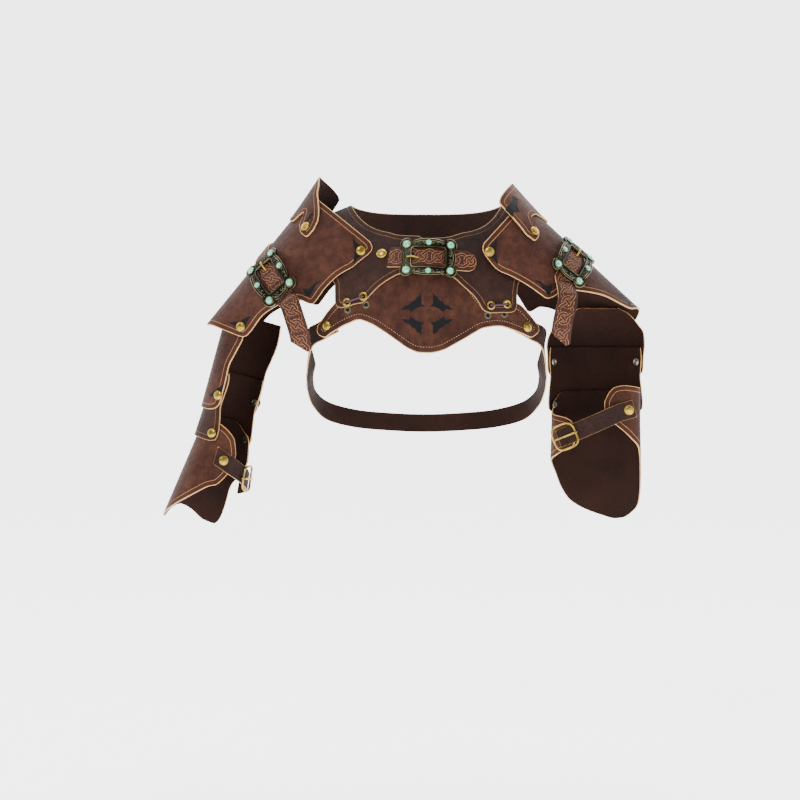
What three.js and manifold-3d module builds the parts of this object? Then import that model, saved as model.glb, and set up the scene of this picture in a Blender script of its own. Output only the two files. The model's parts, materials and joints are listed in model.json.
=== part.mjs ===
// Leather shoulder harness: collar yoke, chest plate, two arched pauldrons with
// raised neck guards, hinged arm plates, laced elbow cuffs, straps and buckles.
// Millimetres, +Z up, the wearer looks along -Y, origin at the neck opening.
import * as THREE from 'three';
import Module from 'manifold-3d';

const wasm = await Module();
wasm.setup();
const { Manifold, Mesh: SolidMesh } = wasm;

// ---------------------------------------------------------------- sizes
const LEATHER = 2.0;            // wall of every panel
const SEAM = 0.3;               // air between layers
const LAYER = LEATHER + SEAM;   // one layer up
const STRAP_WALL = 2.4;
const STRAP_WIDTH = 27;
const CUFF_STRAP_WIDTH = 23;
const NECK = { side: 96, front: 75, back: 55, frontDrop: 39, backDrop: 8 };
const SLOPE = { shoulder: 22, chest: 62, hang: 82, sideRun: 60, frontRun: 10, sideBend: 60, frontBend: 80 };
const RIVET = { radius: 6.3, rise: 3.1, lip: 0.8 };
const EYELET = { hole: 2.8, outer: 5.6, wall: 1.1 };
const LACE = { radius: 1.4 };
const BUCKLE = { length: 73, width: 53, windowLength: 43, windowWidth: 27.5, wall: 4.2, lobe: 7.5 };
const PRONG = 1.5;
const SHANK = 2.3;              // rivet shank, in a hole of the eyelet's size
const CUFF_BUCKLE = { length: 33, width: 35, windowLength: 23, windowWidth: 25.5, wall: 3.2 };

const LEFT = { // wearer's right shoulder, at -X
  start: [-148.2, 14.3], along: [-0.634, -0.773], out: [-0.773, 0.634],
  shape: [
    { at: -30, rise: 104, reach: 74, roll: 0 },
    { at: 0, rise: 101.7, reach: 79, roll: 0 },
    { at: 30, rise: 97, reach: 83, roll: 0 },
    { at: 60, rise: 92, reach: 83, roll: 0 },
    { at: 120, rise: 80, reach: 73, roll: 0 },
    { at: 200, rise: 60, reach: 46, roll: 0 },
    { at: 222, rise: 58, reach: 44, roll: 0 },
  ],
};
const RIGHT = { // wearer's left shoulder, at +X, turned to the back at the arm
  start: [124.3, 7.3], along: [0.737, -0.676], out: [0.676, 0.737],
  shape: [
    { at: -30, rise: 90, reach: 88, roll: 4 },
    { at: 0, rise: 88, reach: 91, roll: 3 },
    { at: 30, rise: 87, reach: 91, roll: 3 },
    { at: 65, rise: 86, reach: 88.5, roll: -1 },
    { at: 105, rise: 83, reach: 83, roll: -7 },
    { at: 146, rise: 80, reach: 80, roll: -15 },
    { at: 181, rise: 78, reach: 78, roll: -24 },
    { at: 222, rise: 77, reach: 77, roll: -34 },
  ],
};

// half widths of the pauldron, cut flat, from the neck edge to the arm point
const PAULDRON_CUT_L = [
  { at: 0, half: 139.5 }, { at: 2.5, half: 145 }, { at: 6.5, half: 148.2 }, { at: 12, half: 149.2 }, { at: 20, half: 148.8 }, { at: 36.5, half: 147.4 },
  { at: 52.4, half: 142.3 }, { at: 73.1, half: 137.4 }, { at: 85, half: 135.7 },
  { at: 104.6, half: 135 }, { at: 109, half: 131 }, { at: 113.5, half: 116.3 },
  { at: 137.6, half: 96.3 }, { at: 161.1, half: 84.6 }, { at: 183.2, half: 80.7 },
  { at: 194.8, half: 76.7 }, { at: 204.6, half: 51.9 }, { at: 215.8, half: 7.2 },
];
const PAULDRON_CUT_R = [
  { at: 0, half: 127 }, { at: 2.5, half: 132 }, { at: 7, half: 135.6 }, { at: 13, half: 137.6 }, { at: 20, half: 139 }, { at: 36.5, half: 141 },
  { at: 52.4, half: 137.6 }, { at: 73.1, half: 134.9 }, { at: 85, half: 134.3 },
  { at: 104.6, half: 134.3 }, { at: 109, half: 130.6 }, { at: 113.5, half: 116.3 },
  { at: 137.6, half: 96.3 }, { at: 161.1, half: 84.6 }, { at: 183.2, half: 80.7 },
  { at: 194.8, half: 76.7 }, { at: 204.6, half: 51.9 }, { at: 215.8, half: 7.2 },
];
// neck guard: distance along the ridge of its neck edge and its arm edge,
// for each position across; slant is the cut-away leg, broad the full one
const GUARD_CUT = [
  { across: -79, neck: 33, arm: 44 }, { across: -77, neck: 24, arm: 46 },
  { across: -72, neck: -20, arm: 46 }, { across: -60, neck: -24, arm: 42 },
  { across: -46, neck: -25, arm: 22 }, { across: -30, neck: -25, arm: 24 },
  { across: 0, neck: -25, arm: 43 }, { across: 30, neck: -16, arm: 43 },
  { across: 42, neck: -6, arm: 24 }, { across: 54, neck: 1, arm: 40 },
  { across: 68, neck: 12, arm: 47 }, { across: 76, neck: 22, arm: 47 },
  { across: 79, neck: 33, arm: 43 },
];
const GUARD_LIFT = [
  { at: -30, lift: 6 }, { at: 0, lift: 3 }, { at: 30, lift: 0.6 }, { at: 60, lift: 0 },
];
// collar yoke: degrees round the neck from the front, reach out from the neckline
const YOKE_CUT = [
  { turn: -9, inner: 7, reach: 49 }, { turn: 6, inner: 6.5, reach: 55 },
  { turn: 15.7, inner: 5, reach: 61.5 }, { turn: 20.7, inner: 3, reach: 72.7 },
  { turn: 24.9, inner: 1, reach: 82.6 }, { turn: 28.5, inner: 0, reach: 94.1 },
  { turn: 30.7, inner: 0, reach: 105.3 }, { turn: 33.7, inner: 0, reach: 111.3 },
  { turn: 41.1, inner: 0, reach: 116.7 }, { turn: 48, inner: 0, reach: 122.1 },
  { turn: 49.6, inner: 0, reach: 118.5 }, { turn: 50.4, inner: 0, reach: 104 },
  { turn: 51.5, inner: 0, reach: 94 }, { turn: 55, inner: 0, reach: 84 },
  { turn: 70, inner: 0, reach: 56 }, { turn: 90, inner: 0, reach: 42 },
  { turn: 110, inner: 0, reach: 48 }, { turn: 130, inner: 0, reach: 70 },
  { turn: 150, inner: 0, reach: 88 }, { turn: 180, inner: 0, reach: 84 },
  { turn: 210, inner: 0, reach: 88 }, { turn: 230, inner: 0, reach: 78 },
  { turn: 250, inner: 0, reach: 66 }, { turn: 270, inner: 0, reach: 60 },
  { turn: 290, inner: 0, reach: 74 }, { turn: 304, inner: 0, reach: 88 },
  { turn: 307.5, inner: 0, reach: 93 }, { turn: 308.3, inner: 0, reach: 104 },
  { turn: 309, inner: 0, reach: 115 }, { turn: 310.6, inner: 0, reach: 118.3 },
  { turn: 314.3, inner: 0, reach: 114.4 }, { turn: 319.6, inner: 0, reach: 105.5 },
  { turn: 324, inner: 0, reach: 100 }, { turn: 326.2, inner: 0, reach: 93.6 },
  { turn: 329.4, inner: 0, reach: 83 }, { turn: 332.5, inner: 1, reach: 74.4 },
  { turn: 337.7, inner: 3, reach: 64.4 }, { turn: 343.1, inner: 4, reach: 57.4 },
  { turn: 354, inner: 5, reach: 52 }, { turn: 357, inner: 9, reach: 51 },
  { turn: 364, inner: 24, reach: 50 },
];
const YOKE_LAP = [ // the upper end lies over the lower one at the front
  { turn: -9, base: 0 }, { turn: 326, base: 0 }, { turn: 336, base: 0.8 },
  { turn: 344, base: 1.9 }, { turn: 349, base: LAYER }, { turn: 364, base: LAYER },
];
const CHEST_CUT = [
  { turn: -59.6, top: 156, foot: 163.5 }, { turn: -58, top: 147, foot: 165.5 },
  { turn: -55.1, top: 131, foot: 164 }, { turn: -52.2, top: 118, foot: 155.4 },
  { turn: -49.6, top: 107, foot: 148 }, { turn: -45.7, top: 101, foot: 137.5 },
  { turn: -42.4, top: 96, foot: 130.8 }, { turn: -39.1, top: 91, foot: 124.6 },
  { turn: -36.5, top: 86, foot: 122.4 }, { turn: -31.5, top: 72, foot: 123.8 },
  { turn: -23.7, top: 54, foot: 131.2 }, { turn: -15.9, top: 47, foot: 141.9 },
  { turn: -10.3, top: 45, foot: 150.1 }, { turn: -3.9, top: 44, foot: 155 },
  { turn: 1.4, top: 44, foot: 155.3 }, { turn: 8.8, top: 44, foot: 151.8 },
  { turn: 14, top: 48, foot: 146 }, { turn: 20.9, top: 60, foot: 138.4 },
  { turn: 26, top: 74, foot: 133 }, { turn: 30.9, top: 92, foot: 129.4 },
  { turn: 35, top: 99, foot: 130 }, { turn: 39.8, top: 104, foot: 132.8 },
  { turn: 47.4, top: 109, foot: 145.5 }, { turn: 51.7, top: 117, foot: 155 },
  { turn: 57, top: 138.3, foot: 166 }, { turn: 59.5, top: 151, foot: 166 },
  { turn: 60.9, top: 158, foot: 164 },
];

// arm guards: a straight axis, the section's curl, its turn round the axis
const ARM_L = { origin: [-228.8, 0, -179.5], axis: [-0.264, 0, -0.964], side: [-0.964, 0, 0.264], front: [0, -1, 0], core: [0, 0, 0] };
const ARM_R = { origin: [223, 0, -150], axis: [0, 0, -1], side: [0, 1, 0], front: [1, 0, 0], core: [0, 34, 0] };
const SECTION = {
  upperL: { start: 38.5, turn: -35, curl: [{ run: 999, radius: 38.5 }], flare: [{ at: 0, grow: 1 }, { at: 100, grow: 1 }] },
  middleL: { start: 35.9, turn: -35, curl: [{ run: 999, radius: 35.9 }], flare: [{ at: 0, grow: 0.99 }, { at: 96, grow: 0.99 }, { at: 131, grow: 1.04 }] },
  cuffL: { start: 38, turn: -20, curl: [{ run: 999, radius: 38 }], flare: [{ at: 80, grow: 0.85 }, { at: 116, grow: 0.855 }, { at: 132, grow: 0.9 }, { at: 245, grow: 1.316 }] },
  upperR: { start: 66, turn: 0, curl: [{ run: 999, radius: 73 }], flare: [{ at: -24, grow: 0.64 }, { at: -14, grow: 0.75 }, { at: -5, grow: 0.86 }, { at: 4, grow: 0.935 }, { at: 14, grow: 0.985 }, { at: 24, grow: 1 }, { at: 100, grow: 1 }] },
  middleR: { start: 63.3, turn: 0, curl: [{ run: 999, radius: 70.3 }], flare: [{ at: 0, grow: 1 }, { at: 150, grow: 1 }] },
  cuffR: { start: 60.8, turn: 0, curl: [{ run: 58, radius: 67.8 }, { run: 50, radius: 21 }, { run: 999, radius: 260 }], flare: [{ at: 80, grow: 1 }, { at: 130, grow: 1.0 }, { at: 260, grow: 1.06 }] },
};
const CUFF_STRAP_R = [ // across the front of the right cuff
  { x: 271, y: 0.2, z: -262, wx: 0.4, wy: 0, wz: 0.92 }, { x: 250, y: -0.8, z: -268, wx: 0.4, wy: 0, wz: 0.92 },
  { x: 225, y: -3, z: -279, wx: 0.42, wy: 0, wz: 0.9 }, { x: 200, y: -2.6, z: -290, wx: 0.42, wy: 0, wz: 0.9 },
  { x: 184, y: -0.8, z: -297, wx: 0.42, wy: 0, wz: 0.9 }, { x: 172, y: 0.2, z: -302, wx: 0.42, wy: 0, wz: 0.9 },
];
const UPPER_CUT_L = [
  { at: -34, half: 72 }, { at: -8, half: 76 }, { at: 14, half: 71.5 }, { at: 33, half: 67.5 }, { at: 50, half: 68.4 },
  { at: 80, half: 69 }, { at: 88, half: 65.6 }, { at: 92, half: 58 }, { at: 93.5, half: 49.4 },
];
const UPPER_CUT_R = [
  { at: -18, half: 30, far: 45 }, { at: -12, half: 42, far: 60 }, { at: -4, half: 54, far: 66 }, { at: 4, half: 62, far: 70 }, { at: 12, half: 68, far: 76 }, { at: 22, half: 74, far: 77 },
  { at: 32, half: 77, far: 77 }, { at: 45, half: 75, far: 75 }, { at: 62, half: 74, far: 74 }, { at: 68, half: 70, far: 70 },
  { at: 71, half: 62, far: 62 }, { at: 72.5, half: 52, far: 52 },
];
const MIDDLE_CUT_L = [
  { at: 42, half: 65 }, { at: 56, half: 67 }, { at: 83, half: 65 }, { at: 102, half: 68.8 },
  { at: 119, half: 71.6 }, { at: 128, half: 70.7 }, { at: 131.5, half: 62.6 },
];
const MIDDLE_CUT_R = [
  { at: 33, half: 69 }, { at: 47, half: 71 }, { at: 72, half: 69 }, { at: 90, half: 72 },
  { at: 106, half: 74 }, { at: 114, half: 73 }, { at: 117.5, half: 66 },
];
const CUFF_CUT_L = [
  { across: -96, top: 139, foot: 150 }, { across: -90, top: 124, foot: 158 },
  { across: -82, top: 117, foot: 168 }, { across: -72, top: 113, foot: 178 },
  { across: -66, top: 109, foot: 190 }, { across: -64, top: 108, foot: 215 },
  { across: -61, top: 106, foot: 234 }, { across: -56, top: 104, foot: 243 },
  { across: -46, top: 103, foot: 242 }, { across: -28, top: 103, foot: 231 },
  { across: -15, top: 103, foot: 227 }, { across: -3, top: 103, foot: 232 },
  { across: 10, top: 103, foot: 245 }, { across: 17, top: 103, foot: 241 },
  { across: 46, top: 103, foot: 215 }, { across: 61, top: 106, foot: 199 },
  { across: 73, top: 110, foot: 187 }, { across: 80, top: 113.6, foot: 183.5 },
  { across: 86, top: 118, foot: 175 }, { across: 90, top: 122, foot: 168 },
  { across: 94, top: 131, foot: 160 }, { across: 97, top: 140, foot: 150 },
];
const CUFF_CUT_R = [
  { across: -112, top: 136, foot: 158 }, { across: -106, top: 127, foot: 164 },
  { across: -97, top: 123, foot: 168 }, { across: -85, top: 121, foot: 175 },
  { across: -76, top: 119, foot: 179 }, { across: -66, top: 113, foot: 185 },
  { across: -58, top: 101, foot: 194 }, { across: -45, top: 92, foot: 217 },
  { across: -30, top: 91, foot: 236 }, { across: -9, top: 91, foot: 249 },
  { across: 12, top: 91, foot: 257 }, { across: 28, top: 91, foot: 261 },
  { across: 40, top: 91, foot: 259 }, { across: 52, top: 91, foot: 251 },
  { across: 62, top: 91, foot: 241 }, { across: 70, top: 88, foot: 218 },
  { across: 76, top: 86, foot: 186 }, { across: 84, top: 85, foot: 164 },
  { across: 96, top: 83, foot: 153 }, { across: 106, top: 82, foot: 143 },
  { across: 118, top: 84, foot: 133 }, { across: 126, top: 91, foot: 127 },
  { across: 132, top: 103, foot: 121 },
];
// underarm band: centre line with the direction of its width
const BAND_WIDTH = 24;
const BAND_ROOT = [ // on the body, under the chest plate's end
  { turn: -50.5, run: 139 }, { turn: -54.4, run: 149 }, { turn: -58.5, run: 161 }, { turn: -63, run: 175 },
];
const BAND_PATH = [
  { x: -148, y: -27, z: -212, wx: 0.45, wy: 0.5, wz: 0.7 },
  { x: -150, y: 8, z: -232, wx: 0.25, wy: 0.5, wz: 0.85 },
  { x: -146, y: 48, z: -252, wx: 0.05, wy: 0.4, wz: 0.9 },
  { x: -130, y: 84, z: -269, wx: 0, wy: 0.1, wz: 1 },
  { x: -95, y: 108, z: -280, wx: 0, wy: 0, wz: 1 },
  { x: -50, y: 118, z: -285, wx: 0, wy: 0, wz: 1 },
  { x: 0, y: 120, z: -287, wx: 0, wy: 0, wz: 1 },
];
// strap tails below the shoulder buckles
const TAIL_L = [
  { x: -173, y: -88, z: -125, wx: -0.75, wy: 0, wz: -0.5 },
  { x: -166, y: -91, z: -145, wx: -0.9, wy: 0, wz: -0.4 },
  { x: -160, y: -90, z: -166, wx: -0.97, wy: 0, wz: -0.25 },
  { x: -157, y: -86, z: -188, wx: -1, wy: 0, wz: -0.05 },
];
const TAIL_R = [
  { x: 176, y: -94, z: -122, wx: -0.97, wy: 0, wz: 0.2 },
  { x: 171, y: -96, z: -142, wx: -0.98, wy: 0, wz: 0.15 },
  { x: 168, y: -94, z: -161, wx: -1, wy: 0, wz: 0.08 },
  { x: 167, y: -90, z: -179, wx: -1, wy: 0, wz: 0 },
];
const SHOULDER_STRAP = {
  L: { ridge: 111, across: 57.5, lean: 14.7, back: -170, front: 47, ahead: 12.5, tail: TAIL_L },
  R: { ridge: 98, across: 52, lean: 8, back: -165, front: 49, ahead: 14, tail: TAIL_R },
};

// ---------------------------------------------------------------- tables
const rad = (deg) => deg * Math.PI / 180;
const smooth = (t) => t * t * (3 - 2 * t);
function look(rows, key, field, x) {
  if (x <= rows[0][key]) return rows[0][field];
  for (let i = 1; i < rows.length; i++) {
    if (x <= rows[i][key]) {
      const t = (x - rows[i - 1][key]) / (rows[i][key] - rows[i - 1][key]);
      return rows[i - 1][field] + t * (rows[i][field] - rows[i - 1][field]);
    }
  }
  return rows[rows.length - 1][field];
}
function stations(rows, key, step) {
  const out = [rows[0][key]];
  for (let i = 1; i < rows.length; i++) {
    const a = rows[i - 1][key], b = rows[i][key];
    const n = Math.max(1, Math.round((b - a) / step));
    for (let k = 1; k <= n; k++) out.push(a + (b - a) * k / n);
  }
  return out;
}

// ---------------------------------------------------------------- carriers
// every carrier gives the point for (u, v) and a point inside the hollow
const V = (x, y, z) => new THREE.Vector3(x, y, z);
function arch(side, guard = false) {
  const d = V(side.along[0], 0, side.along[1]), n = V(side.out[0], 0, side.out[1]);
  const o = V(side.start[0], 0, side.start[1]);
  return (u, v) => {
    const h = look(side.shape, 'at', 'rise', u), b = look(side.shape, 'at', 'reach', u);
    const lift = guard ? look(GUARD_LIFT, 'at', 'lift', u) : 0;
    const a = v / ((h + b) / 2) + rad(look(side.shape, 'at', 'roll', u));
    const core = o.clone().addScaledVector(d, u).addScaledVector(n, -h);
    const p = core.clone().addScaledVector(n, (h + lift) * Math.cos(a));
    p.y -= (b + lift) * Math.sin(a);
    return { p, core };
  };
}
function body(turn, run) {
  const a = rad(turn), c = Math.cos(a), s = Math.sin(a), cc = Math.abs(c);
  const y = -(c > 0 ? NECK.front : NECK.back) * c;
  const z = -(c > 0 ? NECK.frontDrop * smooth(c) : NECK.backDrop * smooth(-c));
  const s1 = rad(SLOPE.shoulder + (SLOPE.chest - SLOPE.shoulder) * cc), s2 = rad(SLOPE.hang);
  const flat = SLOPE.sideRun + (SLOPE.frontRun - SLOPE.sideRun) * cc;
  const bend = SLOPE.sideBend + (SLOPE.frontBend - SLOPE.sideBend) * cc;
  const w0 = Math.min(run, flat), w1 = Math.min(Math.max(run - flat, 0), bend), w2 = Math.max(run - flat - bend, 0);
  const k = (s2 - s1) / bend;
  const out = w0 * Math.cos(s1) + (Math.sin(s1 + k * w1) - Math.sin(s1)) / k + w2 * Math.cos(s2);
  const down = w0 * Math.sin(s1) + (Math.cos(s1) - Math.cos(s1 + k * w1)) / k + w2 * Math.sin(s2);
  return { p: V(NECK.side * s + out * s, y - out * c, z - down), core: V(0, 0, z - down - 60) };
}
function curlPoint(curl, start, run) {
  let a = 0, x = 0, y = start, left = Math.abs(run);
  for (const part of curl) {
    const w = Math.min(left, part.run), k = 1 / part.radius;
    x += (Math.sin(a + k * w) - Math.sin(a)) / k;
    y += (Math.cos(a + k * w) - Math.cos(a)) / k;
    a += k * w;
    left -= w;
    if (left <= 0) break;
  }
  return [run < 0 ? -x : x, y];
}
function tube(arm, section) {
  const o = V(...arm.origin), ax = V(...arm.axis), e1 = V(...arm.side), e2 = V(...arm.front), c = V(...arm.core);
  const t = rad(section.turn);
  const eb = e1.clone().multiplyScalar(Math.cos(t)).addScaledVector(e2, Math.sin(t));
  const ea = e1.clone().multiplyScalar(-Math.sin(t)).addScaledVector(e2, Math.cos(t));
  return (u, v) => {
    const g = look(section.flare, 'at', 'grow', u);
    const [x, y] = curlPoint(section.curl, section.start, v);
    const core = o.clone().addScaledVector(ax, u);
    const p = core.clone().addScaledVector(eb, y * g).addScaledVector(ea, x * g);
    return { p, core: core.add(c) };
  };
}
function lifted(carrier, u, v, off) {
  const e = 0.4;
  const here = carrier(u, v);
  const du = carrier(u + e, v).p.sub(carrier(u - e, v).p);
  const dv = carrier(u, v + e).p.sub(carrier(u, v - e).p);
  const n = du.cross(dv).normalize();
  if (n.dot(here.p.clone().sub(here.core)) < 0) n.negate();
  return { p: here.p.clone().addScaledVector(n, off), n };
}

// ---------------------------------------------------------------- meshes
const group = new THREE.Group();
group.name = 'shoulder_harness';
const skin = {
  leather: 0x5b3a2e, strap: 0x6a4230, brass: 0xb08d3c, bronze: 0x4d4a3a, lace: 0x2c1a1c,
};
function meshOf(name, points, faces, colour) {
  let volume = 0;
  for (const [a, b, c] of faces) volume += points[a].dot(points[b].clone().cross(points[c]));
  const index = faces.flatMap(([a, b, c]) => (volume < 0 ? [a, c, b] : [a, b, c]));
  const geometry = new THREE.BufferGeometry();
  geometry.setAttribute('position', new THREE.Float32BufferAttribute(points.flatMap((p) => [p.x, p.y, p.z]), 3));
  geometry.setIndex(index);
  geometry.computeVertexNormals();
  const metal = colour === skin.brass || colour === skin.bronze;
  const mesh = new THREE.Mesh(geometry, new THREE.MeshStandardMaterial({ color: colour, roughness: metal ? 0.35 : 0.7, metalness: metal ? 0.9 : 0 }));
  mesh.name = name;
  return mesh;
}
// closed wall between two grids of the same size
function wall(name, outer, inner, colour) {
  const nu = outer.length, nv = outer[0].length, points = [...outer.flat(), ...inner.flat()];
  const o = (i, j) => i * nv + j, q = (i, j) => nu * nv + i * nv + j, faces = [];
  const quad = (a, b, c, d) => faces.push([a, b, c], [a, c, d]);
  for (let i = 0; i < nu - 1; i++) {
    for (let j = 0; j < nv - 1; j++) {
      quad(o(i, j), o(i + 1, j), o(i + 1, j + 1), o(i, j + 1));
      quad(q(i, j), q(i, j + 1), q(i + 1, j + 1), q(i + 1, j));
    }
    quad(o(i, 0), q(i, 0), q(i + 1, 0), o(i + 1, 0));
    quad(o(i, nv - 1), o(i + 1, nv - 1), q(i + 1, nv - 1), q(i, nv - 1));
  }
  for (let j = 0; j < nv - 1; j++) {
    quad(o(0, j), o(0, j + 1), q(0, j + 1), q(0, j));
    quad(o(nu - 1, j), q(nu - 1, j), q(nu - 1, j + 1), o(nu - 1, j + 1));
  }
  return meshOf(name, points, faces, colour);
}
// panel whose columns run over the first carrier axis (swap = over the second)
function panel({ name, carrier, columns, low, high, rows, base = () => 0, thick = LEATHER, colour = skin.leather, swap = false }) {
  const outer = [], inner = [];
  for (const c of columns) {
    const lo = low(c), hi = high(c), a = [], b = [];
    for (let j = 0; j <= rows; j++) {
      const w = lo + (hi - lo) * j / rows;
      const [u, v] = swap ? [w, c] : [c, w];
      a.push(lifted(carrier, u, v, base(c) + thick).p);
      b.push(lifted(carrier, u, v, base(c)).p);
    }
    outer.push(a);
    inner.push(b);
  }
  return wall(name, outer, inner, colour);
}
// ribbon through frames {c, w, n}: rectangle of the given width and wall
function ribbon(name, frames, width, thick, colour, tip = null) {
  const outer = [], inner = [];
  frames.forEach((f, i) => {
    const half = width / 2 * (tip ? tip(i / (frames.length - 1)) : 1), a = [], b = [];
    for (const k of [-1, 0, 1]) {
      const p = f.c.clone().addScaledVector(f.w, k * half);
      a.push(p.clone().addScaledVector(f.n, thick));
      b.push(p);
    }
    outer.push(a);
    inner.push(b);
  });
  return wall(name, outer, inner, colour);
}
function pathFrames(rows, count, outward) {
  const curve = new THREE.CatmullRomCurve3(rows.map((r) => V(r.x, r.y, r.z)), false, 'centripetal');
  const frames = [];
  for (let i = 0; i <= count; i++) {
    const t = i / count, f = t * (rows.length - 1), k = Math.min(rows.length - 2, Math.floor(f)), g = f - k;
    const c = curve.getPoint(t), along = curve.getTangent(t);
    const mix = (key) => rows[k][key] + g * (rows[k + 1][key] - rows[k][key]);
    const w = V(mix('wx'), mix('wy'), mix('wz'));
    w.addScaledVector(along, -w.dot(along)).normalize();
    const n = w.clone().cross(along).normalize();
    if (n.dot(outward(c)) < 0) n.negate();
    frames.push({ c, w, n });
  }
  return frames;
}
function rounded(t, ends) { // narrows the last part of a strap to a round tip
  return t > 1 - ends ? Math.sqrt(Math.max(0.08, 1 - ((t - 1 + ends) / ends) ** 2 * 0.92)) : 1;
}
// turned solid: profile rows {r, z} from the axis back to the axis, set on a seat
function turned(name, profile, seat, n, sides, colour) {
  const side = new THREE.Vector3(0.31, 0.87, 0.39).cross(n).normalize(), other = n.clone().cross(side);
  const points = [], faces = [], ring = profile.map((q) => {
    if (q.r === 0) { points.push(seat.clone().addScaledVector(n, q.z)); return [points.length - 1]; }
    const first = points.length;
    for (let k = 0; k < sides; k++) {
      const a = 2 * Math.PI * k / sides;
      points.push(seat.clone().addScaledVector(n, q.z).addScaledVector(side, q.r * Math.cos(a)).addScaledVector(other, q.r * Math.sin(a)));
    }
    return Array.from({ length: sides }, (_, k) => first + k);
  });
  const loops = profile[0].r === 0 ? ring.length - 1 : ring.length;
  for (let i = 0; i < loops; i++) {
    const a = ring[i], b = ring[(i + 1) % ring.length];
    for (let k = 0; k < sides; k++) {
      const m = (k + 1) % sides;
      if (a.length === 1) faces.push([a[0], b[k], b[m]]);
      else if (b.length === 1) faces.push([a[k], b[0], a[m]]);
      else faces.push([a[k], b[k], b[m]], [a[k], b[m], a[m]]);
    }
  }
  return meshOf(name, points, faces, colour);
}
const rivetProfile = [
  { r: 0, z: 0 }, { r: RIVET.radius, z: 0 }, { r: RIVET.radius, z: RIVET.lip },
  { r: RIVET.radius * 0.72, z: RIVET.rise * 0.8 }, { r: 0, z: RIVET.rise },
];
const eyeletProfile = [
  { r: EYELET.hole, z: 0 }, { r: EYELET.outer, z: 0 }, { r: EYELET.outer * 0.8, z: EYELET.wall }, { r: EYELET.hole, z: EYELET.wall * 0.8 },
];
function rivet(name, carrier, u, v, base) {
  const s = lifted(carrier, u, v, base + SEAM);
  return turned(name, rivetProfile, s.p, s.n, 10, skin.brass);
}
// rivet whose shank goes through its own panel and ends at the wall below
function shankRivet(name, carrier, u, v, base, target) {
  const s = lifted(carrier, u, v, base + SEAM), inward = s.n.clone().negate();
  const skipWall = LEATHER + SEAM + 0.05;
  const side = s.n.clone().cross(V(0, 1, 0.3)).normalize(), reach = [];
  for (let k = 0; k < 9; k++) {
    const rim = k ? side.clone().applyAxisAngle(s.n, k * Math.PI / 4).multiplyScalar(SHANK) : V(0, 0, 0);
    const hit = new THREE.Raycaster(s.p.clone().add(rim).addScaledVector(inward, skipWall), inward).intersectObject(target)[0];
    if (hit && hit.distance < 24) reach.push(hit.distance);
  }
  if (!reach.length) throw new Error(`${name} finds no wall`);
  const deep = Math.min(...reach) + skipWall - SEAM;
  return turned(name, [{ r: 0, z: -deep }, { r: SHANK, z: -deep }, { r: SHANK, z: 0 }, ...rivetProfile.slice(1)], s.p, s.n, 10, skin.brass);
}
function cord(name, points, radius, sides, colour, count = 16) {
  const curve = new THREE.CatmullRomCurve3(points, false, 'centripetal');
  const rings = [], all = [];
  let side = null;
  for (let i = 0; i <= count; i++) {
    const t = i / count, c = curve.getPoint(t), a = curve.getTangent(t);
    side = side ? side.addScaledVector(a, -side.dot(a)).normalize() : V(0.2, 0.3, 0.9).cross(a).normalize();
    const other = a.clone().cross(side);
    rings.push(Array.from({ length: sides }, (_, k) => {
      const w = 2 * Math.PI * k / sides;
      all.push(c.clone().addScaledVector(side, radius * Math.cos(w)).addScaledVector(other, radius * Math.sin(w)));
      return all.length - 1;
    }));
  }
  const faces = [];
  for (let i = 0; i < count; i++) for (let k = 0; k < sides; k++) {
    const m = (k + 1) % sides;
    faces.push([rings[i][k], rings[i + 1][k], rings[i + 1][m]], [rings[i][k], rings[i + 1][m], rings[i][m]]);
  }
  for (const [r, flip] of [[rings[0], true], [rings[count], false]]) {
    for (let k = 1; k < sides - 1; k++) faces.push(flip ? [r[0], r[k], r[k + 1]] : [r[0], r[k + 1], r[k]]);
  }
  return meshOf(name, all, faces, colour);
}
// frame plate bent along its length: outline and window by angle
function frameRing(name, seat, size, bend, lobes, colour) {
  const count = 40, ring = (outer) => Array.from({ length: count }, (_, k) => {
    const a = 2 * Math.PI * (k + 0.5) / count, c = Math.cos(a), s = Math.sin(a);
    const L = (outer ? size.length : size.windowLength) / 2, W = (outer ? size.width : size.windowWidth) / 2;
    const power = outer ? (lobes ? 3.2 : 3) : 5;
    let r = 1 / ((Math.abs(c) / L) ** power + (Math.abs(s) / W) ** power) ** (1 / power);
    if (outer && lobes) r *= 1 + 0.05 * Math.max(0, Math.cos(4 * (a - Math.PI / 4))) - 0.02;
    return [r * c, r * s];
  });
  const place = ([x, y], z) => seat.o.clone()
    .addScaledVector(seat.ex, (bend + z) * Math.sin(x / bend))
    .addScaledVector(seat.ey, y)
    .addScaledVector(seat.en, (bend + z) * Math.cos(x / bend) - bend);
  const o = ring(true), w = ring(false);
  const mid = o.map(([x, y], k) => [(x * 0.62 + w[k][0] * 0.38), (y * 0.62 + w[k][1] * 0.38)]);
  const loops = [o.map((p) => place(p, 0.4)), o.map((p) => place([p[0] * 0.985, p[1] * 0.985], size.wall * 0.55)),
    mid.map((p) => place(p, size.wall)), w.map((p) => place(p, size.wall * 0.6)), w.map((p) => place(p, 0))];
  const points = loops.flat(), faces = [];
  for (let i = 0; i < loops.length; i++) for (let k = 0; k < count; k++) {
    const j = (i + 1) % loops.length, m = (k + 1) % count;
    faces.push([i * count + k, j * count + k, j * count + m], [i * count + k, j * count + m, i * count + m]);
  }
  return meshOf(name, points, faces, colour);
}
// small tapered pin lying along a seat's length
function pin(name, seat, from, to, height, radius, bend) {
  const at = (x, z) => seat.o.clone().addScaledVector(seat.ex, (bend + z) * Math.sin(x / bend)).addScaledVector(seat.en, (bend + z) * Math.cos(x / bend) - bend);
  const n = 6, rows = Array.from({ length: n }, (_, i) => at(from + (to - from) * i / (n - 1), height));
  return cord(name, rows, radius, 6, skin.brass, 8);
}
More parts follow.
